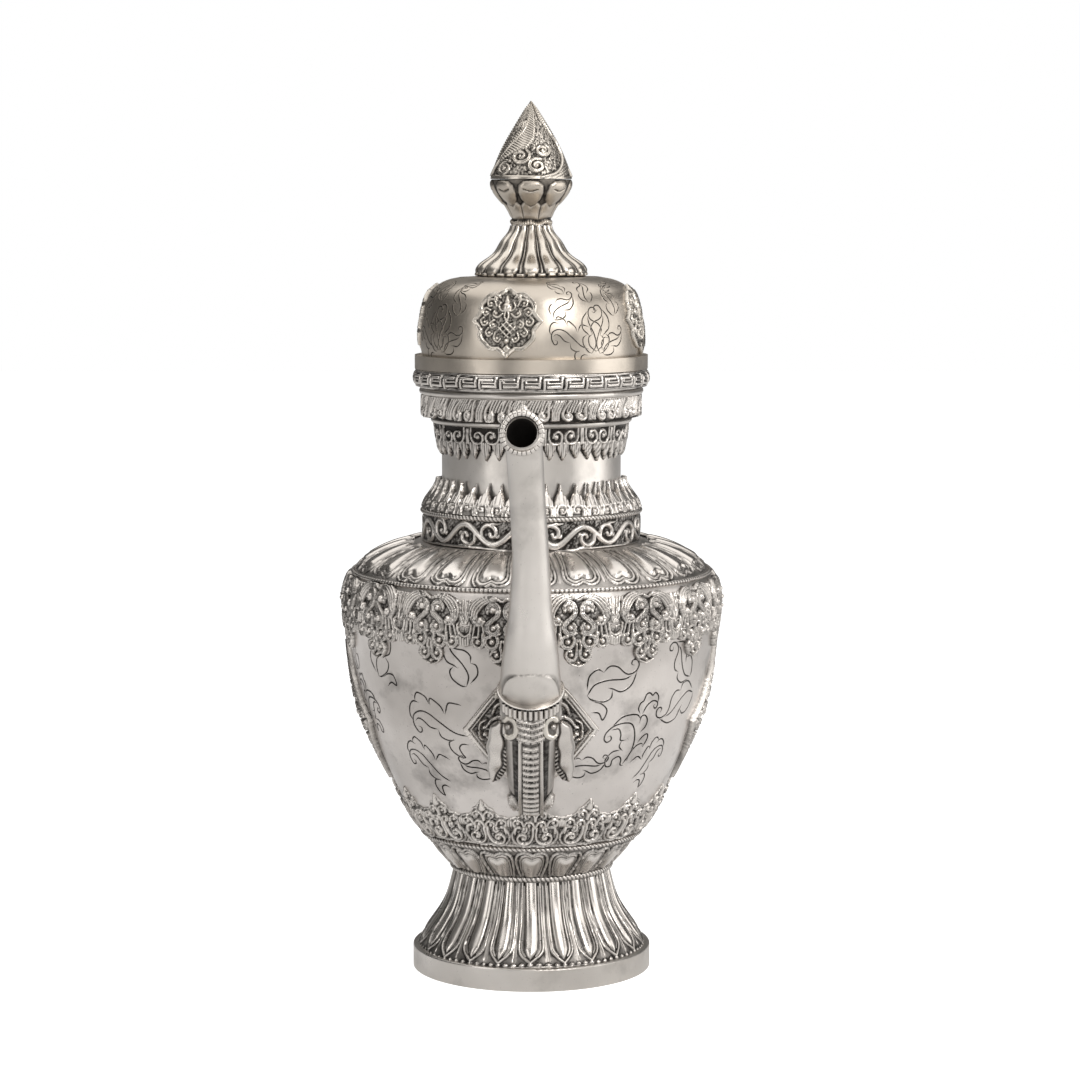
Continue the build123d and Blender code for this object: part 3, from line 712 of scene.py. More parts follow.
def crest():
    """The upright leaves at the foot of the neck."""
    part = outline_of("neck_crest")
    h = part.length
    cell = Cell(14.6, h, floor=-0.6)
    cell.fill([(0, -1), (7.4, -1), (7.4, 5.4), (0, 5.4)], 0.3, 0.3)
    cell.fill([(0.1, 4.2), (0.25, 7.4), (1.3, 10.0), (2.6, 11.8), (3.65, h + 0.2), (4.7, 11.8),
               (6.0, 10.0), (7.05, 7.4),
               (7.2, 4.2)], 1.5, 0.9, lines=(0, 1.2, 0.45))
    cell.stroke([(3.65, 4.6), (3.65, 9), (3.65, h - 1.0)], 0.7, 1.6)
    for x in (0.0, 7.3):
        cell.fill([(x - 1.5, -1), (x + 1.5, -1), (x + 1.7, 3.6), (x, 5.9), (x - 1.7, 3.6)], 1.3,
                  0.7, lines=(0, 0.85, 0.5))
    cell.scroll([(5.6, -0.6), (5.9, 2.8), (4.7, 5.0), (2.6, 4.9), (1.7, 3.0), (2.6, 1.4),
                 (4.0, 1.6)], (0.9, 1.3, 0.9), 1.6,
                1.1, 1, (3.6, 3.0))
    chased_ring("crest_leaves", part, cell, 20, RELIEF, ["neck_crest"], seed=22, pitch=0.40,
                phase=4, base=-0.4, wobble=0.5, drop=-0.35, strength=0.65, ground=0.25)


def fringe():
    """The leaves that hang under the neck's stepped bands."""
    _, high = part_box("neck_fringe")
    part = Outline([(42.4, 238.2), (43.6, 244.0), (45.0, high.z / MM)])
    h = part.length
    cell = Cell(18.6, h, floor=-1.2)
    cell.fill([(0, h + 1), (9.3, h + 1), (9.3, h - 7.4), (0, h - 7.4)], -0.2, 0.3, base=-1.2)
    for x, low in ((0.0, 0.2), (6.2, 1.0), (12.4, 1.0)):
        cell.fill([(x - 2.9, h - 6.2), (x - 2.9, 6.6), (x - 1.8, low + 3.4), (x - 0.7, low + 1.2),
                   (x, low), (x + 0.7, low + 1.2),
                   (x + 1.8, low + 3.4), (x + 2.9, 6.6), (x + 2.9, h - 6.2)], 0.45, 1.2, base=-1.2,
                  lines=(0, 0.95, 0.5))
    cell.fill([(7.9, h - 7.4), (9.3, h - 8.2), (10.7, h - 7.4), (10.6, h), (8.0, h)], 0.4, 0.6,
              base=-1.2, lines=(0, 0.9, 0.4))
    cell.scroll([(7.2, h + 0.6), (7.3, h - 3.6), (6.2, h - 6.4), (3.6, h - 7.4), (1.2, h - 6.2),
                 (0.9, h - 3.6), (2.6, h - 1.9),
                 (4.6, h - 2.5), (5.0, h - 4.2)], (0.8, 1.2, 1.4, 1.2), 0.7, 1.35, 1,
                (3.6, h - 4.2), -1.2)
    chased_ring("fringe_leaves", part, cell, 15, RELIEF, ["neck_fringe"], seed=23, pitch=0.40,
                phase=-5, base=-0.3, wobble=0.5, drop=-0.95, ground=0.2)


def acanthus():
    """The band of leaning hair lines and acanthus scrolls."""
    part = drum("acanthus_band")
    h = part.length
    cell = Cell(17.6, h, floor=-0.1, even=False)
    for x in np.arange(-10.56, 7.0, 1.353846):
        cell.stroke([(x, 4.4), (x + 1.4, 7.0), (x + 3.6, h + 0.4)], 0.85, 0.9)
    cell.fill([(-1.9, 0.4), (1.9, 0.4), (2.6, 3.6), (4.0, 6.6), (6.0, h + 0.4), (1.2, h + 0.4),
               (-0.8, 6.6), (-1.7, 3.6)], 1.5, 0.9)
    for k in (-1.1, 0.0, 1.1):
        cell.groove([(k, 1.6), (k * 1.1 + 0.4, 4.6), (k * 1.2 + 2.0, 7.4),
                     (k * 1.3 + 3.6, h + 0.4)], 0.55, 0.6)
    cell.groove([(-1.1, 1.5), (0, 0.9), (1.1, 1.5)], 0.5, 0.6)
    cell.scroll([(8.4, h + 0.5), (5.8, 7.4), (4.0, 4.6), (3.7, 2.4), (5.2, 0.8), (7.1, 1.3),
                 (7.5, 3.2), (6.3, 4.3)],
                (1.1, 1.5, 1.7, 1.3), 1.6, 1.45, 1, (5.9, 2.7))
    cell.scroll([(-0.4, h + 0.5), (-2.2, 7.2), (-2.8, 4.2), (-3.4, 1.8), (-5.2, 0.8), (-7.1, 1.7),
                 (-7.2, 3.4), (-5.9, 4.2)],
                (1.1, 1.4, 1.6, 1.2), 1.5, 1.35, 1, (-5.5, 2.7))
    cell.stroke([(-3.4, h + 0.4), (-5.0, 7.6), (-5.6, 5.6)], (0.9, 1.3, 0.5), 1.2)
    chased_ring("acanthus_scrolls", part, cell, 18, RELIEF, ["acanthus_band"], seed=24, pitch=0.40,
                phase=12, base=-1.25, wobble=0.35)


def key():
    """The key pattern and the flat mouth."""
    part = outline_of("key_band")
    low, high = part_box("key_band")
    bottom, top = low.z / MM, high.z / MM
    part = part.part(bottom, top)
    h = part.length
    cell = Cell(10.05, h, floor=1.0, even=False, step=0.1)
    low, high = h / 2 - 2.75, h / 2 + 2.75
    cell.groove([(-11, low - 0.75), (0, low - 0.75), (11, low - 0.75)], 0.5, 0.5)
    cell.groove([(-11, high + 0.7), (0, high + 0.7), (11, high + 0.7)], 0.5, 0.5)

    def bar(*corners):
        for a, b in zip(corners, corners[1:]):
            cell.groove([a, b], 0.95, 0.85)

    bar((-4.7, low), (-4.7, high), (3.2, high), (3.2, high - 2.0), (-1.6, high - 2.0))
    bar((-3.0, high - 2.0), (-3.0, low), (4.9, low), (4.9, high - 1.2))
    bar((-3.0, low + 2.1), (3.2, low + 2.1))
    cell.map = np.maximum(cell.map, 0.1)
    chased_ring("key_fret", part, cell, 34, RELIEF, ["key_band"], seed=25, pitch=0.32, base=-0.95,
                wobble=0.12, strength=1.8, ground=0.8)
    r0, z0 = part.at(0)
    r1, z1 = part.at(h)
    ledge("key_mouth", [(r1 - 0.4, z1 - 0.3), (r1 - 0.6, top - 0.06), (r1 - 1.2, top), (45, top),
                        (40.3, top),
                                  (40.0, top - 0.4), (40.0, top - 1.5)], 0.2)
    # The band's underside is set darker (0.5) than the mouth's top (0.2).
    ledge("key_under", [(49.0, bottom + 0.05), (r0 - 0.8, bottom + 0.05), (r0 - 0.4, bottom + 0.3)],
          0.5)


# --- Engraved sprays -----------------------------------------------------------------------------

LEAF = [
    [(0.0, 0.10), (0.05, 0.33), (0.20, 0.43), (0.31, 0.37)],
    [(0.31, 0.37), (0.42, 0.46), (0.57, 0.43), (0.70, 0.31), (0.80, 0.27), (0.93, 0.31),
     (0.99, 0.41), (0.95, 0.50), (0.87, 0.51),
     (0.84, 0.44), (0.90, 0.41)],
    [(0.0, 0.0), (0.14, 0.17), (0.38, 0.22), (0.68, 0.20), (0.84, 0.24)],
    [(0.95, 0.30), (0.83, 0.08), (0.63, -0.01), (0.47, 0.06), (0.38, 0.09)],
    [(0.46, 0.04), (0.43, -0.09), (0.28, -0.14), (0.08, -0.08), (0.0, 0.0)],
]
FORK = [
    [(0.08, -0.10), (0.25, -0.17), (0.35, -0.30), (0.27, -0.46), (0.20, -0.33), (0.06, -0.30)],
]
PLUME = [
    [(0, 0), (6.4, 1.6), (13.7, 6.3), (19, 9.7), (23.7, 10.3), (27.4, 7.9), (27.7, 3.7), (25.3, 0),
     (23.5, 0.5), (23.5, 2.4),
     (25.1, 2.9)],
    [(1.6, 14.7), (4.3, 15.3), (7.9, 15.3), (9.3, 12.1), (9.8, 10)],
    [(10.3, 10.3), (12.2, 13.7), (16.9, 16.8), (17.9, 15.3), (17.4, 13.7)],
    [(18.2, 14.2), (20, 17.4), (24.3, 18.9), (25.8, 16.8), (25.6, 14.7)],
    [(23.7, 14.2), (26.9, 14.7), (29, 12.6), (29.5, 8.4), (27.9, 5.3)],
    [(26.6, 5.3), (24.8, 6.8), (22.2, 6.1), (18.5, 3.2), (14.3, 2.4)],
    [(14.3, 2.1), (13.2, -1.1), (10.1, -2.6), (7.9, -2.4), (6.9, -1.8)],
    [(6.4, -2.1), (9.5, -3.7), (9, -7.4), (5.8, -10.5), (2.7, -11.1), (3.7, -9.5), (4.8, -6.3),
     (3.2, -4.2), (0, -4.2)],
]
ARCH = [
    [(-0.5, 0), (2.4, 7.4), (2.1, 14.7), (-0.5, 20.5), (-4.7, 21.8), (-10, 20.8), (-13.4, 17.9),
     (-13.9, 14.7), (-12.1, 12.9),
     (-10.3, 14.2), (-11.1, 16.1), (-12.4, 15.5)],
    [(-11.1, 18.9), (-7.6, 19.2), (-5.8, 16.3), (-5.3, 13.4), (-2.1, 13.2)],
    [(-4.5, 13.2), (-5, 10), (-2.4, 7.4)],
    [(-3.7, 8.2), (-7.9, 7.4), (-10.3, 3.7), (-9.2, 0), (-6.8, 0), (-6.6, 3.2), (-3.9, 4.7),
     (-2.1, 2.9), (-1.6, 0), (0.5, -0.8)],
    [(-11.1, 20.5), (-6.8, 24.5), (-2.1, 25.5), (1.6, 25), (3.4, 22.9)],
    [(3.4, 21), (3.7, 23.9), (5.8, 24.5), (7.6, 22.1), (7.1, 18.9), (4.7, 16.3)],
    [(4.7, 11.1), (6.8, 13.9), (9.2, 15), (10, 12.6), (8.4, 8.2)],
    [(1.3, 1.6), (1.8, 5.3), (4.2, 9.2), (7.4, 10.3), (8.2, 8.7)],
    [(2.9, 25.3), (1.6, 27.9), (2.6, 30.5), (4.2, 31.4), (5.5, 34.2), (7.4, 34.7), (9.2, 33.4),
     (10.8, 34.5), (12.9, 32.6),
     (12.9, 29.5)],
    [(4.2, 25.3), (6.3, 28.9), (9.5, 30.8), (12.4, 30), (12.6, 28.2), (11.3, 27.1), (10.3, 28.4),
     (11.3, 29.2)],
]


def turned(lines, size, angle, side):
    """Lines scaled, mirrored when side is -1, and turned by an angle in degrees."""
    c, s = math.cos(math.radians(angle)) * size, math.sin(math.radians(angle)) * size
    return [[(x * c - side * y * s, x * s + side * y * c) for x, y in line] for line in lines]


def dented(outline, seed, depth, size):
    """The soft dents of a hand-raised sheet, as a cell that goes once round an outline."""
    cell = Cell(2 * math.pi * outline.r.max(), outline.length, step=1.5, even=False)
    cell.map = noise(np.random.default_rng(seed), *cell.map.shape, size / 3, size / 3) * depth
    return cell


def sheet(name, outline, dents, gap, low, high, look, hole=None):
    """A dented skin over a turned CAD sheet. A hole is the azimuth on either side and the two
    heights between which nothing is made."""
    columns, pitch = 640, 1.2
    first, last = outline.s_at(low), outline.s_at(high)
    s = np.linspace(first, last, int((last - first) / pitch))[:, None]
    a = turn_steps(columns)[None]
    r, z = outline.at(s, gap + dents.read(dents.map, a / FULL_TURN, s))
    faces = grid_faces(len(s), columns)
    if hole:
        turn = np.broadcast_to((a + math.pi) % FULL_TURN - math.pi, z.shape)
        turn = np.abs(turn).ravel()[faces].max(axis=1)
        level = z.ravel()[faces].mean(axis=1)
        faces = faces[(turn > hole[0]) | (level < hole[1]) | (level > hole[2])]
    points, faces = compact(around(r, a, z).reshape(-1, 3), faces)
    add_mesh(name, points, faces, look)


def engraving(name, outline, dents, gap, sprays, look, width=0.58):
    """Engraved lines with a dark bottom and a fine burr on each side. A spray is the azimuth and
    height of its root, and lines in millimetres from there."""
    across = np.array([-1.0, -0.74, -0.46, 0.46, 0.74, 1.0]) * width
    raised = gap + np.array([-0.3, 0.075, 0.03, 0.03, 0.075, -0.3])
    shade = np.array([0, 0.0, 1, 1, 0.0, 0])
    points, faces, darks, first = [], [], [], 0
    for azimuth, height, lines in sprays:
        s0 = outline.s_at(height)
        for line in lines:
            line = smooth(line, 0.5)
            if len(line) < 4:
                continue
            tangent = np.gradient(line, axis=0)
            tangent /= np.linalg.norm(tangent, axis=1)[:, None] + 1e-9
            normal = np.column_stack([-tangent[:, 1], tangent[:, 0]])
            ends = np.clip(np.minimum(np.arange(len(line)), np.arange(len(line))[::-1]) / 4.0, 0.2,
                           1)
            flat = line[:, None] + normal[:, None] * across[None, :, None] * ends[:, None, None]
            s = np.clip(s0 + flat[..., 1], 0, outline.length)
            a = math.radians(azimuth) + flat[..., 0] / np.interp(s, outline.s, outline.r)
            r, z = outline.at(s, raised[None] + dents.read(dents.map, a / (2 * math.pi), s))
            points.append(around(r, a, z).reshape(-1, 3))
            faces.append(grid_faces(len(line), 6, closed=False, flip=True) + first)
            darks.append(np.tile(shade, len(line)))
            first += len(points[-1])
    add_mesh(name, np.vstack(points), np.vstack(faces), look, dark=np.concatenate(darks))


def belly_sprays(belly):
    """Leaf sprays between the four plates, the front half's repeated on the back."""
    leaves = [
        (17.5, 139, 24, 4, 1, True), (60, 142, 21, 112, 1, False), (64, 134, 24, 218, -1, False),
              (13, 103, 17, -4, 1, False),
        (70, 110, 16, 75, -1, False), (-20.0, 143, 21, 128, -1, False), (-56, 143, 23, 48, 1, True),
              (-14, 101, 15, 172, -1, False),
        (-72, 143, 14, 100, 1, False),
    ]
    sprays = [(a, z, turned(LEAF + (FORK if fork else []), 1.1 * size, angle, side)) for a, z, size,
              angle, side, fork in leaves]
    sprays += [(35, 105, turned(ARCH, 1.0, 0, 1)), (-66, 116, turned(ARCH, 0.75, 180, -1)),
               (-21, 120, turned(PLUME, 1.0, 180, -1)),
               (-32, 97, turned(PLUME, 0.85, 160, -1)), (42, 97, turned(PLUME, 0.72, 35, 1))]
    sprays += [(a + 180, z, lines) for a, z, lines in sprays]
    dents, gap, spout_hole = dented(belly, 61, 0.05, 16.0), 0.25, (0.11, 100.0, 124.0)
    sheet("belly_skin", belly, dents, gap, 66.5, 187.5, SKIN, spout_hole)
    engraving("belly_engraving", belly, dents, gap, sprays, SKIN)


def dome_sprays(dome):
    """Leaf sprays between the four badges."""
    leaves = [
        (0, 287.6, 19, 112, -1), (5, 287.4, 20, 66, 1), (7, 287.4, 15, 20, 1),
              (-21, 303, 14, 30, 1),
        (16, 304, 14, 118, -1), (0, 310, 12, 75, 1), (-14, 314, 9, 150, -1), (14, 315, 9, 20, 1),
    ]
    sprays = []
    for quarter in range(4):
        middle = -12.5 + 45 + 90 * quarter
        for a, z, size, angle, side in leaves:
            sprays.append((middle + a, z, turned(LEAF, size, angle, side)))
        sprays.append((middle - 2, 289.5, turned(PLUME, 0.66, 172, -1)))
    dents, gap = dented(dome, 62, 0.04, 14.0), 0.2
    sheet("dome_skin", dome, dents, gap, dome.z.min(), dome.z.max(), LID_SKIN)
    engraving("dome_engraving", dome, dents, gap, sprays, LID_SKIN, width=0.42)


# --- Applied plates and badges -------------------------------------------------------------------

def chased_plate(name, outline, middle, cell, azimuth, look, nodes, pitch=0.4):
    """A pattern laid on an outline as one applied plate, without its lowest places."""
    drop = -0.35
    columns, rows = int(cell.width / pitch), int(cell.height / pitch)
    x = (np.arange(columns + 1) / columns - 0.5) * cell.width
    y = np.linspace(0, cell.height, rows + 1)
    place = (x[None] / cell.width + 0.5) * 0.9999, y[:, None]
    height = cell.read(cell.map, *place)
    tarnish = cell.read(cell.dark(1.0, 0.5), *place)
    s = np.clip(outline.s_at(middle) + y - cell.height / 2, 0, outline.length)[:, None]
    r, z = outline.at(s, height)
    a = azimuth + x[None] / np.interp(s, outline.s, outline.r)
    points = around(r, a, z).reshape(-1, 3)
    faces = grid_faces(rows + 1, columns + 1, closed=False)
    faces = faces[(height.ravel()[faces] > drop).any(axis=1)]
    points, faces, tarnish = compact(points, faces, tarnish)
    add_mesh(name, points, faces, look, nodes, tarnish)


def diamonds(belly):
    """The four diamond plates: a double border round a deep ground of scrolls and a flower."""
    wide, tall = 30.5, 35.0
    m = tall + 1
    side = lambda k: [(0, m + tall * k), (wide * 0.53 * k, m + tall * 0.53 * k), (wide * k, m),
                      (wide * 0.53 * k, m - tall * 0.53 * k), (0, m - tall * k)]
    cell = Cell(64, 2 * m, floor=-0.6, step=0.16)
    cell.fill(side(1.0), 2.0, 0.5)
    inner = Cell(64, 2 * m, floor=0.0, step=0.16).fill(side(0.91), 1.0, 0.3)
    cell.map = np.where(inner.map > 0.9, 0.6, cell.map)
    for k, height in ((0.97, 2.9), (0.865, 2.2)):
        for a, b, c in ((0, 1, 2), (2, 3, 4)):
            p = side(k)
            cell.stroke([p[a], ((p[a][0] + p[c][0]) * 0.53, m + (p[a][1] + p[c][1] - 2 * m) * 0.53),
                         p[c]], 1.0, height)
    cell.stipple(31, 1.2, 0.15)
    for flip in (1, -1):
        put = lambda points: [(x * 1.12, m + flip * y) for x, y in points]
        cell.scroll(put([(17.5, 1.5), (15.0, 5.2), (11.6, 6.4), (9.6, 3.9), (11.2, 1.9),
                         (13.2, 2.8)]), (1.2, 1.9, 1.2), 3.0,
                    1.2, 2, put([(12.0, 4.2)])[0])
        cell.scroll(put([(14.8, 8.0), (13.4, 11.6), (9.8, 13.2), (7.3, 11.0), (8.4, 8.7),
                         (10.6, 9.2)]), (1.2, 1.9, 1.2), 3.0,
                    1.2, 2, put([(9.9, 11.0)])[0])
        cell.scroll(put([(11.8, 14.0), (9.4, 17.8), (6.2, 18.8), (4.1, 16.6), (5.4, 14.6),
                         (7.2, 15.3)]), (1.1, 1.8, 1.1), 3.0,
                    1.1, 2, put([(6.4, 16.7)])[0])
        cell.scroll(put([(8.0, 19.5), (5.8, 23.4), (3.1, 23.7), (1.9, 21.4), (3.6, 20.2)]),
                    (1.0, 1.6, 1.0), 3.0, 1.0, 1,
                    put([(3.7, 21.9)])[0])
        cell.scroll(put([(0.4, 12.5), (1.0, 16.5), (3.0, 18.4)]), (1.6, 1.4, 0.7), 2.8, 0.8, 1,
                    put([(1.1, 19.0)])[0])
        cell.fill(put([(0, 24.6), (1.6, 26.2), (0, 29.0)]), 3.0, 0.9)
        cell.scroll(put([(20.2, 0.6), (19.6, 3.4), (17.4, 4.8)]), (1.0, 1.3, 0.6), 2.8, 0.9, 1,
                    put([(18.2, 1.6)])[0])
        for angle in (22, 67):
            c, s = math.cos(math.radians(angle)), math.sin(math.radians(angle))
            cell.fill(put([(2.2 * c, 2.2 * s), (4.5 * c - 2.1 * s, 4.5 * s + 2.1 * c),
                           (7.4 * c, 7.4 * s),
                           (4.5 * c + 2.1 * s, 4.5 * s - 2.1 * c)]), 3.0, 1.6)
    cell.ball(0, m, 2.7, 3.8)
    for name, azimuth, middle in (("spout_plate", 0, 124.0), ("side_medallion_right", 90, 120.0),
                                  ("back_plate", 180, 124.0),
                                  ("side_medallion_left", -90, 120.0)):
        chased_plate(name + "_scrolls", belly, middle, cell, math.radians(azimuth), RELIEF, [name])


def badges(dome):
    """The four badges on the lid: a lobed double border, a jewel, an endless knot and scrolls."""
    m = 17.5
    corner = [(0, 16.6), (2.0, 14.6), (4.3, 13.0)]
    lobe = [(4.3, 13.0), (7.6, 13.0), (10.6, 10.6), (13.0, 7.6), (13.0, 4.3)]
    right = [(13.0, 4.3), (14.6, 2.0), (16.6, 0)]
    top = [tuple(p) for part in (corner, lobe, right) for p in smooth(part, 0.9)[:-1]]
    half = top + [(16.5, 0)] + [(x, -y) for x, y in top[::-1]]
    side = lambda k: [(x * k, m + y * k) for x, y in half]
    cell = Cell(35, 2 * m, floor=-0.6, step=0.12)
    cell.fill(side(1.0), 1.5, 0.6)
    inner = Cell(35, 2 * m, floor=0.0, step=0.12).fill(side(0.90), 1.0, 0.2)
    cell.map = np.where(inner.map > 0.9, 0.45, cell.map)
    for k, width, height in ((0.965, 0.8, 2.05), (0.875, 0.6, 1.5)):
        cell.stroke(side(k), width, height)
    cell.stipple(32, 0.6, 0.1)
    cell.ball(0, m + 6.3, 2.3, 2.2)
    cell.fill([(0, m + 8), (1.3, m + 8.2), (0.9, m + 10.6), (0, m + 12.2)][::-1], 1.8, 0.8)
    cell.stroke([(0.9, m + 4.6), (2.6, m + 4.9), (3.7, m + 6.6), (2.9, m + 8.4)], 0.7, 1.5)
    cell.stroke([(0.6, m + 4.2), (0.9, m + 2.0), (0.2, m + 0.6)], 0.9, 1.7)
    for points, centre in (([(1.6, 3.2), (3.6, 1.6), (5.4, 2.6), (4.9, 4.2)], (4.4, 3.2)),
                           ([(4.2, 6.2), (5.6, 8.8), (7.8, 8.2), (7.6, 6.3), (6.4, 6.2)],
                            (6.6, 7.3)),
                           ([(6.8, 4.6), (8.6, 5.4), (9.8, 3.8), (8.8, 2.3), (7.6, 3.0)],
                            (8.4, 3.7)),
                           ([(9.4, 1.6), (10.6, 0.2), (9.6, -1.6), (7.9, -1.2), (8.0, 0.2)],
                            (9.0, -0.3)),
                           ([(2.8, 9.6), (4.4, 10.6), (5.2, 9.4), (4.3, 8.4)], (4.4, 9.5)),
                           ([(5.2, 0.4), (6.7, -0.9), (6.0, -2.6), (4.6, -2.0)], (5.5, -1.3)),
                           ([(7.2, -2.6), (8.4, -4.4), (7.2, -6.0), (5.8, -5.0)], (7.0, -4.6)),
                           ([(4.4, -4.4), (5.0, -6.8), (3.4, -8.2), (2.4, -7.0)], (3.7, -6.8))):
        cell.scroll([(x * 1.12, m + y * 1.1) for x, y in points], (0.7, 1.05, 0.7), 1.6, 0.7, 1,
                    (centre[0] * 1.12, m + centre[1] * 1.1))
    for k in (-2.1, 0, 2.1):
        for flip in (1, -1):
            knot = [(-3.0, k), (3.0, k)]
            cell.stroke([(p * 0.72 + q * 0.72 * flip, m - 3.2 + (q * 0.72 - p * 0.72 * flip)) for p,
                         q in knot], 0.62, 1.5)
    cell.ball(0, m - 8.6, 1.2, 1.7)
    cell.fill([(0, m - 10.4), (1.9, m - 11.9), (0, m - 14.2)], 1.4, 0.4, lines=(45, 0.6, 0.3))
    for name, turn in (("front", 0), ("right", 90), ("back", 180), ("left", -90)):
        chased_plate("badge_" + name, dome, 301.9, cell, LID_TURN + math.radians(turn), LID_RELIEF,
                     ["lid_medallion_" + name], pitch=0.36)


# --- The finial ----------------------------------------------------------------------------------

def finial():
    """The fluted skirt, the cup of petals and the bud."""
    part = outline_of("finial_skirt")
    cell = Cell(7.0, part.length, floor=0.15)
    far = part.length
    cell.fill([(0, 1.0), (2.0, 1.4), (2.7, 4), (2.6, 14), (2.7, far + 2), (0, far + 2)], 1.35, 2.6)
    cell.stroke([(3.5, 2), (3.5, 12), (3.5, far + 1)], 0.5, 0.5)
    cell.fill([(0, 0.0), (1.3, 0.0), (1.3, 1.7), (0, 1.7)], 1.3, 0.7)
    cell.fill([(2.2, 0), (4.8, 0), (4.8, 1.6), (2.2, 1.6)], 1.2, 0.6)
    chased_ring("finial_flutes", part, cell, 16, LID_RELIEF, ["finial_skirt"], seed=41, pitch=0.4,
                base=-1.3, wobble=0.15, strength=0.9)

    part = outline_of("finial_cup")
    far = part.length
    cell = Cell(11.5, far, floor=0.2)
    cell.fill([(0, 9), (2.6, 10), (4.6, 13.0), (5.2, 17), (4.6, far - 2.4), (2.8, far - 0.5),
               (0, far - 0.1)], 1.25, 2.4, 0.2)
    cell.groove([(-2.6, far - 4.4), (0, far - 5.4), (2.6, far - 4.4)], 0.7, 0.4)
    cell.fill([(0, 3.0), (5.8, 3.0), (5.8, 9.5), (3.0, 12), (0, 9.6)], 0.95, 2.0)
    for x in (0.2, 2.1, 3.9, 5.6):
        cell.ball(x, 1.3 + 0.4 * math.sin(3 * x), 1.25, 1.25)
    chased_ring("finial_petals", part, cell, 8, LID_SKIN, ["finial_cup"], seed=42, base=-1.15,
                strength=0.8)

    part = outline_of("finial_bud")
    far = part.length
    cell = Cell(52, far, floor=0.3, even=False)
    cell.stipple(43, 1.0, 0.12)
    cell.fill([(-26, -1), (26, -1), (26, 1.4), (-26, 1.4)], 0.9, 0.5)
    cell.fill([(-25, 0.5), (-19.4, 7.4), (-11, 12.2), (-2.2, 15.0), (2.4, 19.5), (3.6, 24),
               (4.4, 29), (6, far + 1), (-6, far + 1),
               (-6, 30), (-11, 24), (-17.5, 15), (-23, 5)], 1.2, 1.2, lines=(72, 1.2, 0.55))
    cell.stroke([(-24.5, 1.0), (-17.5, 11.5), (-10, 19.5), (-4, 27), (-1, far + 1)], 1.1, 1.6)
    cell.fill([(4.6, 0), (13.4, 3), (20, 10), (20.5, 17), (17, 23), (11, 30), (9, far + 1),
               (20, far + 1), (23, 24), (27, 14),
               (27.4, 6), (20, 1.6), (12, -0.5)], 1.2, 1.2, lines=(-72, 1.2, 0.55))
    cell.stroke([(4.6, 0.4), (13.6, 3.6), (20.4, 11), (20.4, 18), (16.6, 24.5), (11, far + 1)], 1.1,
                1.6)
    for x, y, radius, turn, k in ((-5.6, 10.8, 4.0, -1, 1.35), (6.6, 14.0, 3.1, -1, 1.5),
                                  (-13.2, 4.8, 3.9, 1, 1.15),
                                  (3.0, 6.2, 3.6, 1, 1.2), (-8.0, 27, 1.6, 1, 2.5)):
        curl = [(x + (px - x) * k, py) for px, py in spiral(x, y, radius, 0.8, 60, 1.5 * turn)]
        cell.scroll(curl, (1.4, 2.0, 1.7, 1.2), 1.5, 0.9, 2, (x, y))
    chased_ring("finial_leaves", part, cell, 2, LID_RELIEF, ["finial_bud"], seed=44, pitch=0.36,
                base=-1.15, wobble=0.25, strength=0.9, ground=0.4)


# --- The spout -----------------------------------------------------------------------------------

SPOUT_LINE = [(0, -66, 110), (0, -90, 126), (0, -104, 147), (0, -112, 166), (0, -117, 182),
              (0, -122, 204),
              (-1, -127, 226), (-2, -132, 243), (-3, -140, 256), (-3.5, -148.5, 260)]
SPOUT_RADII = [9.0, 11.5, 13.4, 11.8, 9.2, 7.9, 7.7, 7.7, 7.7, 7.8]


def frames(line):
    """Tangents and two side directions along a line, turned as little as possible. The first side
    starts near +X."""
    tangent = np.gradient(line, axis=0)
    tangent /= np.linalg.norm(tangent, axis=1)[:, None]
    side = np.array([1.0, 0, 0])
    sides = []
    for t in tangent:
        side = side - t * side.dot(t)
        side /= np.linalg.norm(side)
        sides.append(side)
    sides = np.array(sides)
    return tangent, sides, np.cross(tangent, sides)


def tube(line, radii, turns, lift=None):
    """Points round a line. turns are angles from the first side, and lift adds to the radius."""
    _, x, y = frames(line)
    radii = np.asarray(radii)[:, None] + (0 if lift is None else lift)
    c, s = np.cos(turns)[None, :, None], np.sin(turns)[None, :, None]
    return line[:, None] + radii[..., None] * (c * x[:, None] + s * y[:, None])



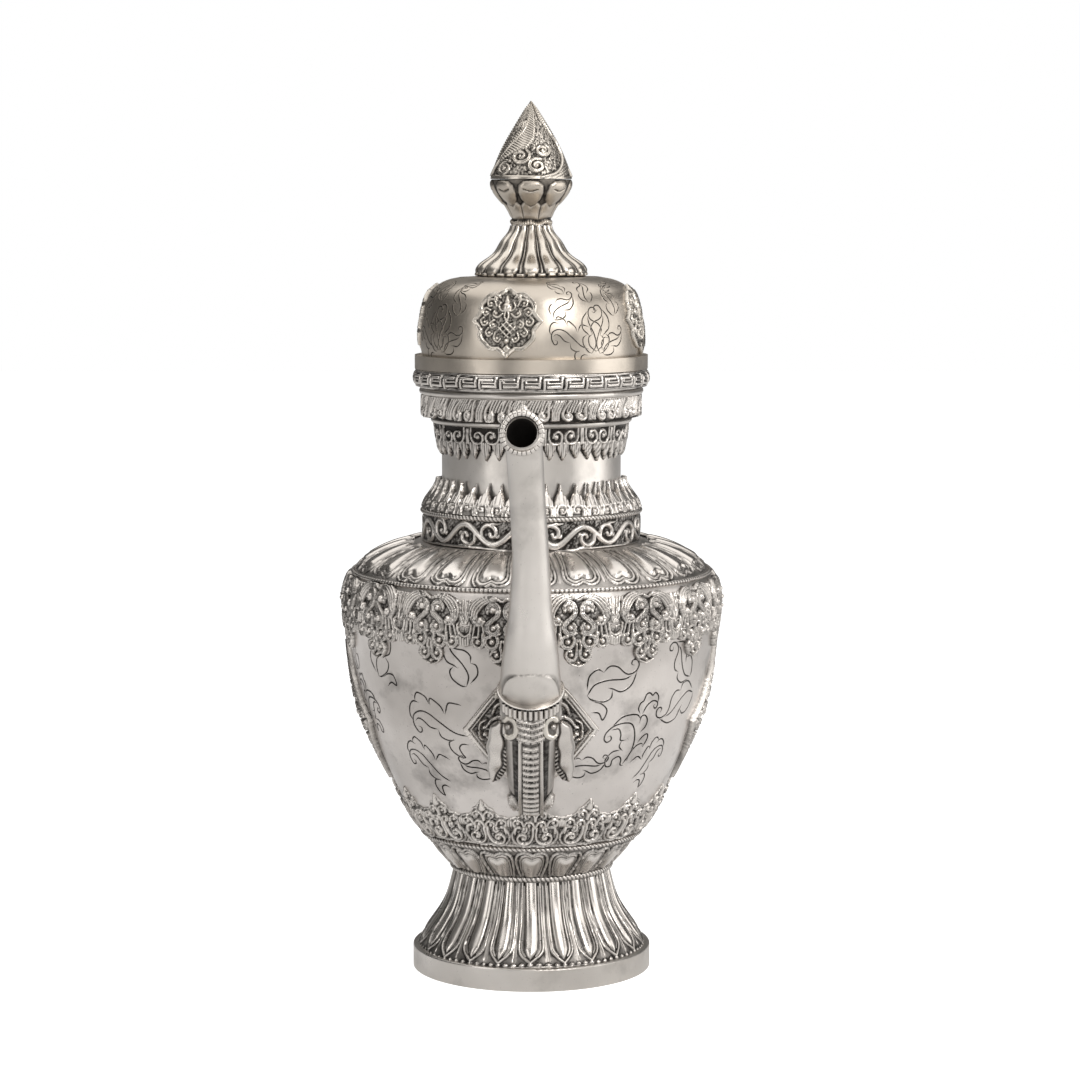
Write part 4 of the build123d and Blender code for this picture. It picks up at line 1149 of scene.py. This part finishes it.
def spout():
    """The pipe with its padded front, its mouth and the leaf above."""
    line = smooth(SPOUT_LINE, 0.5)
    t = lengths(line) / lengths(line)[-1]
    knots = lengths(np.array(SPOUT_LINE, float))
    radii = np.interp(t, knots / knots[-1], SPOUT_RADII)
    kernel = np.exp(-np.linspace(-2, 2, 45) ** 2)
    radii = np.convolve(np.pad(radii, 22, mode="edge"), kernel / kernel.sum(), mode="valid")
    sides = 120
    turns = turn_steps(sides)
    front = (turns + math.pi / 2 + math.pi) % (2 * math.pi) - math.pi
    z = line[:, 2]
    reach = np.radians(64) * np.clip(1 - np.clip((z - 144) / 15, 0, 1) ** 2.6, 0, 1) ** (1 / 2.6)
    gap = reach[:, None] - np.abs(front)[None]
    inside = np.clip(gap / 0.07, 0, 1) * (z > 138)[:, None]
    rng = np.random.default_rng(51)
    soft = noise(rng, len(line), sides, 11, 14) * 0.12
    near = (z > 139)[:, None] * (z < 159.5)[:, None]
    pad = 0.55 + 1.9 * np.clip((150 - z) / 11, 0, 1)[:, None] ** 1.3
    arch = pad * inside * (2 - inside) + 0.45 * near * np.exp(-((gap - 0.07) / 0.05) ** 2)
    # Just outside the padded front's edge, a dark line along its foot: painted shade where the pad
    # meets the pipe.
    edge = np.exp(-((gap + 0.08) / 0.10) ** 2) * near
    outer = tube(line, radii, turns, arch + soft)
    rows = len(line)
    bore = tube(line[rows // 2:], radii[rows // 2:] - 1.4, turns)[::-1]
    lip = 0.5 * (outer[-1] + bore[0])
    points = np.vstack([outer.reshape(-1, 3), lip, bore[0]])
    dark = np.concatenate([(edge * 0.5).ravel(), np.full(2 * sides, 0.3)])
    add_mesh("spout_pipe", points, grid_faces(rows + 2, sides), SMOOTH, ["spout_tube"],
             np.clip(dark, 0, 1))
    # The bore gets the near-black material: painted shade inside the pipe.
    add_mesh("spout_bore", bore.reshape(-1, 3), grid_faces(len(bore), sides), BORE,
             dark=np.ones(len(bore) * sides))

    # the cut ring round the mouth and the leaf on top of it
    centre = np.array(SPOUT_LINE[-1])
    count, around_steps = 448, 22
    a, b = turn_steps(count), turn_steps(around_steps)
    cut = np.clip(1 - np.abs(np.sin(14 * a)) * 3.2, 0, 1)[None]
    face = np.clip(np.sin(b), 0, 1)[:, None] ** 0.5
    fat = 1.55 * (1 - 0.30 * cut * (0.35 + 0.65 * face))
    r = 8.15 + fat * np.cos(b)[:, None] * 0.95
    y = -148.4 - 1.0 * fat * np.sin(b)[:, None]
    ring = np.stack([centre[0] + r * np.sin(a), y + 0 * r, centre[2] + r * np.cos(a)], axis=-1)
    add_mesh("spout_ring", ring.reshape(-1, 3), hoop_faces(around_steps, count)[:, ::-1], RELIEF,
             ["spout_lip"], np.broadcast_to(cut * 0.95, r.shape))

    u = np.linspace(-1, 1, 41)[None]
    v = np.linspace(0, 1, 26)[:, None]
    half = 3.6 * np.sqrt(np.clip(1 - v, 0, 1)) * (1 - 0.12 * np.abs(np.sin(9 * v)))
    x = centre[0] + u * half
    height = centre[2] + 8.2 + 4.3 * v - 0.25 * u ** 2
    proud = 1.6 * (1 - np.abs(u) ** 2.2) * (1 - 0.4 * v) * (1 - 0.22 * np.abs(np.sin(8 * u)))
    shape = np.stack([x, -147.0 - proud + 0 * v, height], axis=-1)
    flat = np.stack([x, -146.4 + 0 * u * v, height], axis=-1)
    both = np.concatenate([shape, flat[:, ::-1]], axis=1)
    add_mesh("spout_leaf", both.reshape(-1, 3), grid_faces(26, 82), RELIEF,
             dark=np.broadcast_to(0.5 * (1 - np.abs(np.sin(8 * np.concatenate([u, u], axis=1)))),
                                  (26, 82)))


def head():
    """The sea monster's head: a lofted body with comb-edged scutes, rails, teeth and mane."""
    stations = [((0, -52, 106), (0, -1, 0.3), 11.5, 26.0), ((0, -84, 120), (0, -0.8, 0.6), 13.0,
                                                            21.5),
                ((0, -106, 146), (0, -0.42, 0.91), 15.0, 16.2)]
    t = np.linspace(0, 1, 190)
    basis = np.stack([2 * (t - 0.5) * (t - 1), -4 * t * (t - 1), 2 * t * (t - 0.5)], axis=-1)
    centre = basis @ np.array([s[0] for s in stations], float)
    heading = basis @ np.array([np.array(s[1]) / np.linalg.norm(s[1]) for s in stations])
    heading /= np.linalg.norm(heading, axis=1)[:, None]
    half, deep = (basis @ np.array([s[k] for s in stations], float) for k in (2, 3))
    back = np.cross(heading, [1.0, 0, 0])
    q = np.linspace(-math.pi, math.pi, 260, endpoint=False)
    front = centre - back * deep[:, None]
    low, tall = front[0, 2], front[-1, 2] - front[0, 2]
    cell = Cell(64, tall, floor=0.0, step=0.13)
    top = tall
    cell.fill([(0, -2), (4.2, -2), (4.1, top - 16), (0, top - 16)], 0.5, 0.3)
    cell.fill([(8.6, 12), (15.5, 13), (15.5, top - 17), (9.2, top - 17)], 0.5, 0.6)
    cell.stroke([(5.0, -2), (4.9, 15), (4.8, top - 15.5)], 1.5, 2.1, crown=0.3)
    rows = [(y, 3.75, 3.1) for y in np.arange(0.4, top - 17.5, 3.1)]
    rows += [(y, 6.6, 2.85) for y in top - 16.4 + 2.85 * np.arange(4)]
    for y, wide, pitch in rows:
        arc = 0.5 if wide < 5 else 1.3
        cell.fill([(0, y - 0.1), (wide * 0.6, y + arc * 0.4 + 0.1), (wide, y + arc + 0.1),
                   (wide, y + arc + 1.7), (0, y + 1.5)], 1.15,
                  0.4, lines=(0, 0.95, 0.7))
        cell.fill([(0, y + 1.2), (wide * 0.6, y + arc * 0.4 + 1.3), (wide, y + arc + 1.4),
                   (wide, y + pitch + arc - 0.35),
                   (0, y + pitch - 0.55)], 1.75, 0.8)
    for x in np.arange(0.0, 15.0, 2.3):
        cell.fill([(x - 0.95, top - 4.6), (x + 0.95, top - 4.6), (x + 0.95, top + 1),
                   (x - 0.95, top + 1)], 1.9, 0.7)
    for radius in (0.6, 1.6, 2.6, 3.6):
        cell.stroke(spiral(9.6, 6.6, radius, radius, 0, 1.0, 20), 0.8, 2.9 - 0.16 * radius)
    power = 2 / np.linspace(3.4, 2.2, len(t))[:, None]
    boxed = lambda f: np.sign(f)[None] * np.abs(f)[None] ** power
    local = np.stack([boxed(np.sin(q)) * half[:, None], -boxed(np.cos(q)) * deep[:, None]], axis=-1)
    walk = np.linalg.norm(np.diff(local, axis=1), axis=2)
    x = np.concatenate([np.zeros((len(t), 1)), np.cumsum(walk, axis=1)], axis=1)
    x -= x[:, [len(q) // 2]]
    y = (front[:, 2] - low)[:, None] + 0 * x
    face = np.clip(1.6 - np.abs(x) / 16, 0, 1)
    place = x / cell.width + 0.5, y
    height = cell.read(cell.map, *place) * face
    tarnish = cell.read(cell.dark(1.0, 0.4), *place) * face
    normal = np.stack([np.sin(q)[None] / half[:, None], -np.cos(q)[None] / deep[:, None]], axis=-1)
    normal /= np.linalg.norm(normal, axis=-1)[..., None]
    local = local + normal * (height - 1.3)[..., None]
    side = np.array([1.0, 0, 0])
    points = centre[:, None] + local[..., :1] * side + local[..., 1:] * back[:, None]
    add_mesh("makara_scales", points.reshape(-1, 3), grid_faces(len(t), len(q)), RELIEF,
             ["makara_head"], tarnish)
    # the rolled rim of the mouth, closed against the pipe
    ends = []
    for k, grow in enumerate((0, 0.35, 0.2, -0.6, -5.0)):
        ends.append(centre[-1] + heading[-1] * (0, 0.2, 0.5, 0.6, 0.2)[k]
                    + side * (np.sin(q) * (half[-1] - 0.6 + grow))[:, None] - back[-1]
                    * (np.cos(q) * (deep[-1] - 0.6 + grow))[:, None])
    # The rows darken to 0.3 where the rim leaves the scales, and the last row, turned in against
    # the pipe, is painted shade (0.5) inside the mouth.
    add_mesh("makara_rim", np.vstack(ends), grid_faces(5, len(q)), RELIEF,
             dark=np.repeat([0.3, 0.1, 0, 0.1, 0.5], len(q)))
    eye = sphere(18, 24) * 1.5
    for name, flip in SIDES:
        add_mesh("eye_" + name, eye + (flip * 14.6, -106.0, 143.6), grid_faces(18, 24), TUSK,
                 dark=np.full(len(eye), 0.25))


def fangs():
    """Curled tusks at the corners of the mouth, with a pearl inside each."""
    for name, flip in SIDES:
        points = []
        for angle, out in ((30, 0.2), (60, 0.9), (90, 1.4), (135, 1.9), (180, 2.1), (225, 2.0),
                           (270, 1.8), (300, 1.6), (322, 1.5)):
            c, s = math.cos(math.radians(angle)), math.sin(math.radians(angle))
            points.append((flip * (9.0 + 2.9 * c), -112.6 - out, 131.0 + 4.2 * s))
        line = smooth(points, 0.35)
        t = np.linspace(0, 1, len(line))
        radii = 1.45 * np.sqrt(np.clip(1 - (2 * t - 1) ** 8, 0.002, 1)) * (1 - 0.2 * t)
        body = tube(line, radii, turn_steps(20), 0.06 * np.sin(26 * t)[:, None])
        add_mesh("fang_" + name, body.reshape(-1, 3), grid_faces(len(line), 20), TUSK,
                 ["makara_fangs"] if flip > 0 else [])
        pearl = sphere(20, 20) * 1.4 + np.array([flip * 9.6, -112.6, 131.2])
        add_mesh("fang_pearl_" + name, pearl, grid_faces(20, 20), RELIEF, dark=np.full(400, 0.35))


def fins():
    """Long lobed ear fins that hang beside the head, with combs along their inner edges."""
    for name, flip in SIDES:
        v = np.linspace(0, 1, 120)[:, None]
        u = np.linspace(-1, 1, 61)[None]
        middle = smooth([(12.8, -110, 132.5), (13.8, -107.5, 128), (13.8, -102.0, 121),
                         (14.4, -95.5, 113), (15.6, -88.5, 106),
                         (16.6, -84, 102)], 0.15)
        pick = (v[:, 0] * (len(middle) - 1)).astype(int)
        middle = middle[pick]
        wide = np.interp(v[:, 0], [0, 0.08, 0.22, 0.4, 0.6, 0.8, 0.93, 1],
                         [1.6, 3.2, 4.6, 5.0, 4.6, 3.6, 2.4, 0.5])[:, None]
        scallop = 1 + 0.08 * np.sin(v * 19)
        split = -0.42 + 0.10 * np.sin(v * 17) + 1.1 * np.clip(v - 0.62, 0, 1) ** 1.2
        comb = np.clip((split - u) / 0.25, 0, 1) * (v > 0.14)
        bars = 0.5 + 0.5 * np.sin(v * 100 + u * 4)
        lobe = np.clip(1 - ((u - (1 + split) / 2) / ((1 - split) / 2 + 0.05)) ** 2, 0,
                       1) ** 0.6 * (1 - comb)
        lobe = lobe * (0.86 + 0.22 * np.sin(v * 21 + 0.6))
        height = 0.6 + 2.1 * lobe + comb * (0.9 * bars
                                            - 0.2) - 0.7 * np.exp(-((u - split) / 0.09) ** 2)
        x = middle[:, :1] + u * wide * np.where(u > 0, scallop, 1)
        points = np.stack([flip * x, middle[:, 1:2] - height + 1.2 * np.abs(u) ** 3, middle[:, 2:]
                           + 0.3 * u * wide], -1)
        rear = points + np.array([0, 2.2, 0.0])
        both = np.concatenate([points, rear[:, ::-1]], axis=1)
        # Tarnish in the comb's hollows and in the groove beside it; the band near the lobe's outer
        # rim is painted shade where the lobe turns away. The back face gets a flat 0.5.
        shade = np.clip(comb * (1 - bars) * 1.3 + 0.9 * np.exp(-((u - split) / 0.12) ** 2) + 0.45
                        * np.exp(-((u - 0.86) / 0.1) ** 2), 0, 1)
        add_mesh("fin_" + name, both.reshape(-1, 3), grid_faces(120, 122, flip=flip < 0), RELIEF,
                 ["makara_fins"] if flip > 0 else [],
                 np.concatenate([shade, 0 * shade + 0.5], axis=1))


# --- The handle ----------------------------------------------------------------------------------

def handle():
    """A bow of reeded, slowly twisted rod with leaf collars, in the CAD's rod."""
    corners = [np.array(p, float) for p in ((0, 56, 262), (0, 112, 272), (0, 145.8, 238),
                                            (0, 145.8, 180), (0, 118, 128),
                                            (0, 92, 122))]
    line = [corners[0]]
    for a, b, c, radius in zip(corners, corners[1:], corners[2:], (40, 50, 100, 26)):
        u, w = (a - b) / np.linalg.norm(a - b), (c - b) / np.linalg.norm(c - b)
        turn = math.acos(np.clip(u.dot(w), -1, 1))
        reach = radius / math.tan(turn / 2)
        centre = b + (u + w) / np.linalg.norm(u + w) * radius / math.sin(turn / 2)
        p, r = b + u * reach - centre, b + w * reach - centre
        angle = math.acos(np.clip(p.dot(r) / radius ** 2, -1, 1))
        for k in np.linspace(0, 1, 14):
            line.append(centre + (math.sin((1 - k) * angle) * p + math.sin(k * angle) * r)
                        / math.sin(angle))
    line.append(corners[-1])
    line = smooth(line, 0.8)
    where = lengths(line)
    even = np.linspace(0, where[-1], int(where[-1] / 0.45))
    line = np.stack([np.interp(even, where, line[:, k]) for k in range(3)], axis=-1)
    t = even / even[-1]
    sides = 60
    turns = turn_steps(sides)
    reeds = np.abs(np.sin(3 * (turns[None] + t[:, None] * 9.0)))
    knots = np.zeros(len(t))
    for place in (0.07, 0.3, 0.5, 0.7, 0.93):
        knots += np.exp(-((t - place) / 0.012) ** 2)
    petals = 0
    for place in (0.3, 0.5, 0.7):
        away = (t - place)[:, None]
        size = np.clip(1 - np.abs(away) / 0.045, 0, 1)
        petals = petals + size * np.clip(np.cos(6 * turns[None]) + 1.6 * size - 0.6, 0, 1)
    mask = np.clip(1 - 2 * knots[:, None] - petals, 0, 1)
    cuffs = 0.25 * knots[:, None] * np.cos(18 * turns[None])
    lift = -0.75 * (1 - reeds) ** 1.3 * mask - 0.35 * mask + cuffs - 0.3
    shade = (1 - reeds) ** 2 * mask + 0.5 * knots[:, None] * (np.cos(18 * turns[None]) < -0.4)
    points = tube(line, np.full(len(t), 4.2), turns, lift)
    add_mesh("handle_rod", points.reshape(-1, 3), grid_faces(len(t), sides), SMOOTH, ["handle"],
             np.clip(shade, 0, 1))


# --- Camera, light and floor ---------------------------------------------------------------------

def studio():
    """The photograph's camera, its soft lamps and its white floor."""
    scene = bpy.context.scene
    scene.view_settings.view_transform = "Standard"
    focal_length, film_width, degrees_down = 102.7, 36.0, 6.3
    lens = bpy.data.cameras.new("camera")
    lens.lens, lens.sensor_width = focal_length, film_width
    camera = bpy.data.objects.new("camera", lens)
    scene.collection.objects.link(camera)
    camera.location = (0.004, -1.4154, 0.3555)
    camera.rotation_euler = (math.radians(90 - degrees_down), 0, 0)
    scene.camera = camera

    world = bpy.data.worlds.new("world")
    scene.world = world
    world.use_nodes = True
    nodes, links = world.node_tree.nodes, world.node_tree.links
    ray = nodes.new("ShaderNodeLightPath")
    mix = nodes.new("ShaderNodeMix")
    mix.data_type = "RGBA"
    mix.inputs[6].default_value = (0.11, 0.108, 0.105, 1)
    mix.inputs[7].default_value = (1, 1, 1, 1)
    links.new(ray.outputs["Is Camera Ray"], mix.inputs[0])
    links.new(mix.outputs[2], nodes["Background"].inputs["Color"])

    belly_height = 0.18

    def lamp(name, azimuth, elevation, distance, size, power):
        data = bpy.data.lights.new(name, "AREA")
        data.shape, data.size, data.size_y, data.energy = "RECTANGLE", size[0], size[1], power
        data.color = (1.0, 0.985, 0.965)
        lit = bpy.data.objects.new(name, data)
        a, e = math.radians(azimuth), math.radians(elevation)
        centre = Vector((0, 0, belly_height))
        lit.location = centre + distance * Vector((math.sin(a) * math.cos(e), -math.cos(a)
                                                   * math.cos(e), math.sin(e)))
        lit.rotation_euler = (centre - lit.location).to_track_quat("-Z", "Y").to_euler()
        scene.collection.objects.link(lit)

    lamp("right_light", 84, 6, 1.3, (1.2, 1.2), 8.5)
    lamp("key_light", 34, 32, 1.5, (0.7, 0.7), 10.5)
    lamp("left_light", -48, 14, 1.5, (0.6, 1.1), 3.8)
    lamp("front_light", 4, 10, 2.2, (1.0, 1.0), 5.6)
    lamp("top_light", 180, 88, 1.35, (2.6, 2.4), 27)

    floor = bpy.data.meshes.new("floor")
    floor.from_pydata([(-4, -3, 0), (4, -3, 0), (4, 5, 0), (-4, 5, 0)], [], [(0, 1, 2, 3)])
    ground = bpy.data.objects.new("floor", floor)
    scene.collection.objects.link(ground)
    white = bpy.data.materials.new("white_floor")
    white.use_nodes = True
    nodes, links = white.node_tree.nodes, white.node_tree.links
    shader = nodes["Principled BSDF"]
    shader.inputs["Base Color"].default_value = (0.5, 0.5, 0.5, 1)
    shader.inputs["Roughness"].default_value = 0.9
    shader.inputs["Emission Color"].default_value = (1, 1, 1, 1)
    seen, glow = nodes.new("ShaderNodeLightPath"), nodes.new("ShaderNodeMapRange")
    as_light, as_seen = 0.30, 0.96
    glow.inputs["To Min"].default_value = as_light
    glow.inputs["To Max"].default_value = as_seen
    links.new(seen.outputs["Is Camera Ray"], glow.inputs["Value"])
    links.new(glow.outputs["Result"], shader.inputs["Emission Strength"])
    floor.materials.append(white)


# --- Everything ----------------------------------------------------------------------------------

CAD_MATERIALS = (
    (PLAIN, "foot_rim", "neck_tube", "fringe_moulding", "mouth_moulding", "key_band", "spout_tube",
     "handle", "lid_flange"),
    (BODY, "belly_bowl", "belly_shell", "belly_shoulder", "belly_crown"),
    (CHASED, "waist_rope", "spout_lip", "makara_head", "makara_fins", "spout_plate", "back_plate",
     "side_medallion_left", "side_medallion_right", "handle_upper_collar", "handle_lower_collar"),
    (PALE, "makara_fangs"),
    (LID, "lid_rim", "lid_dome", "finial_cup"),
    (LID_CHASED, "lid_medallion_front", "lid_medallion_right", "lid_medallion_back",
     "lid_medallion_left", "finial_skirt", "finial_bud"),
    (STEEL, "finial_stud", "finial_nut", "finial_washer"),
)
for finish, *solids in CAD_MATERIALS:
    for solid in solids:
        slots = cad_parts[solid].data.materials
        if not len(slots):
            slots.append(finish)
        for index in range(len(slots)):
            slots[index] = finish

studio()
BELLY = outline_of("belly_bowl", "belly_shell", "belly_shoulder", "belly_crown")
foot()
waist()
calyx(BELLY)
lower_frieze(BELLY)
upper_frieze(BELLY)
shoulder(BELLY)
wires()
vine()
crest()
fringe()
acanthus()
key()
belly_sprays(BELLY)
DOME = outline_of("lid_dome")
dome_sprays(DOME)
diamonds(BELLY)
badges(DOME)
finial()
spout()
head()
fangs()
fins()
handle()
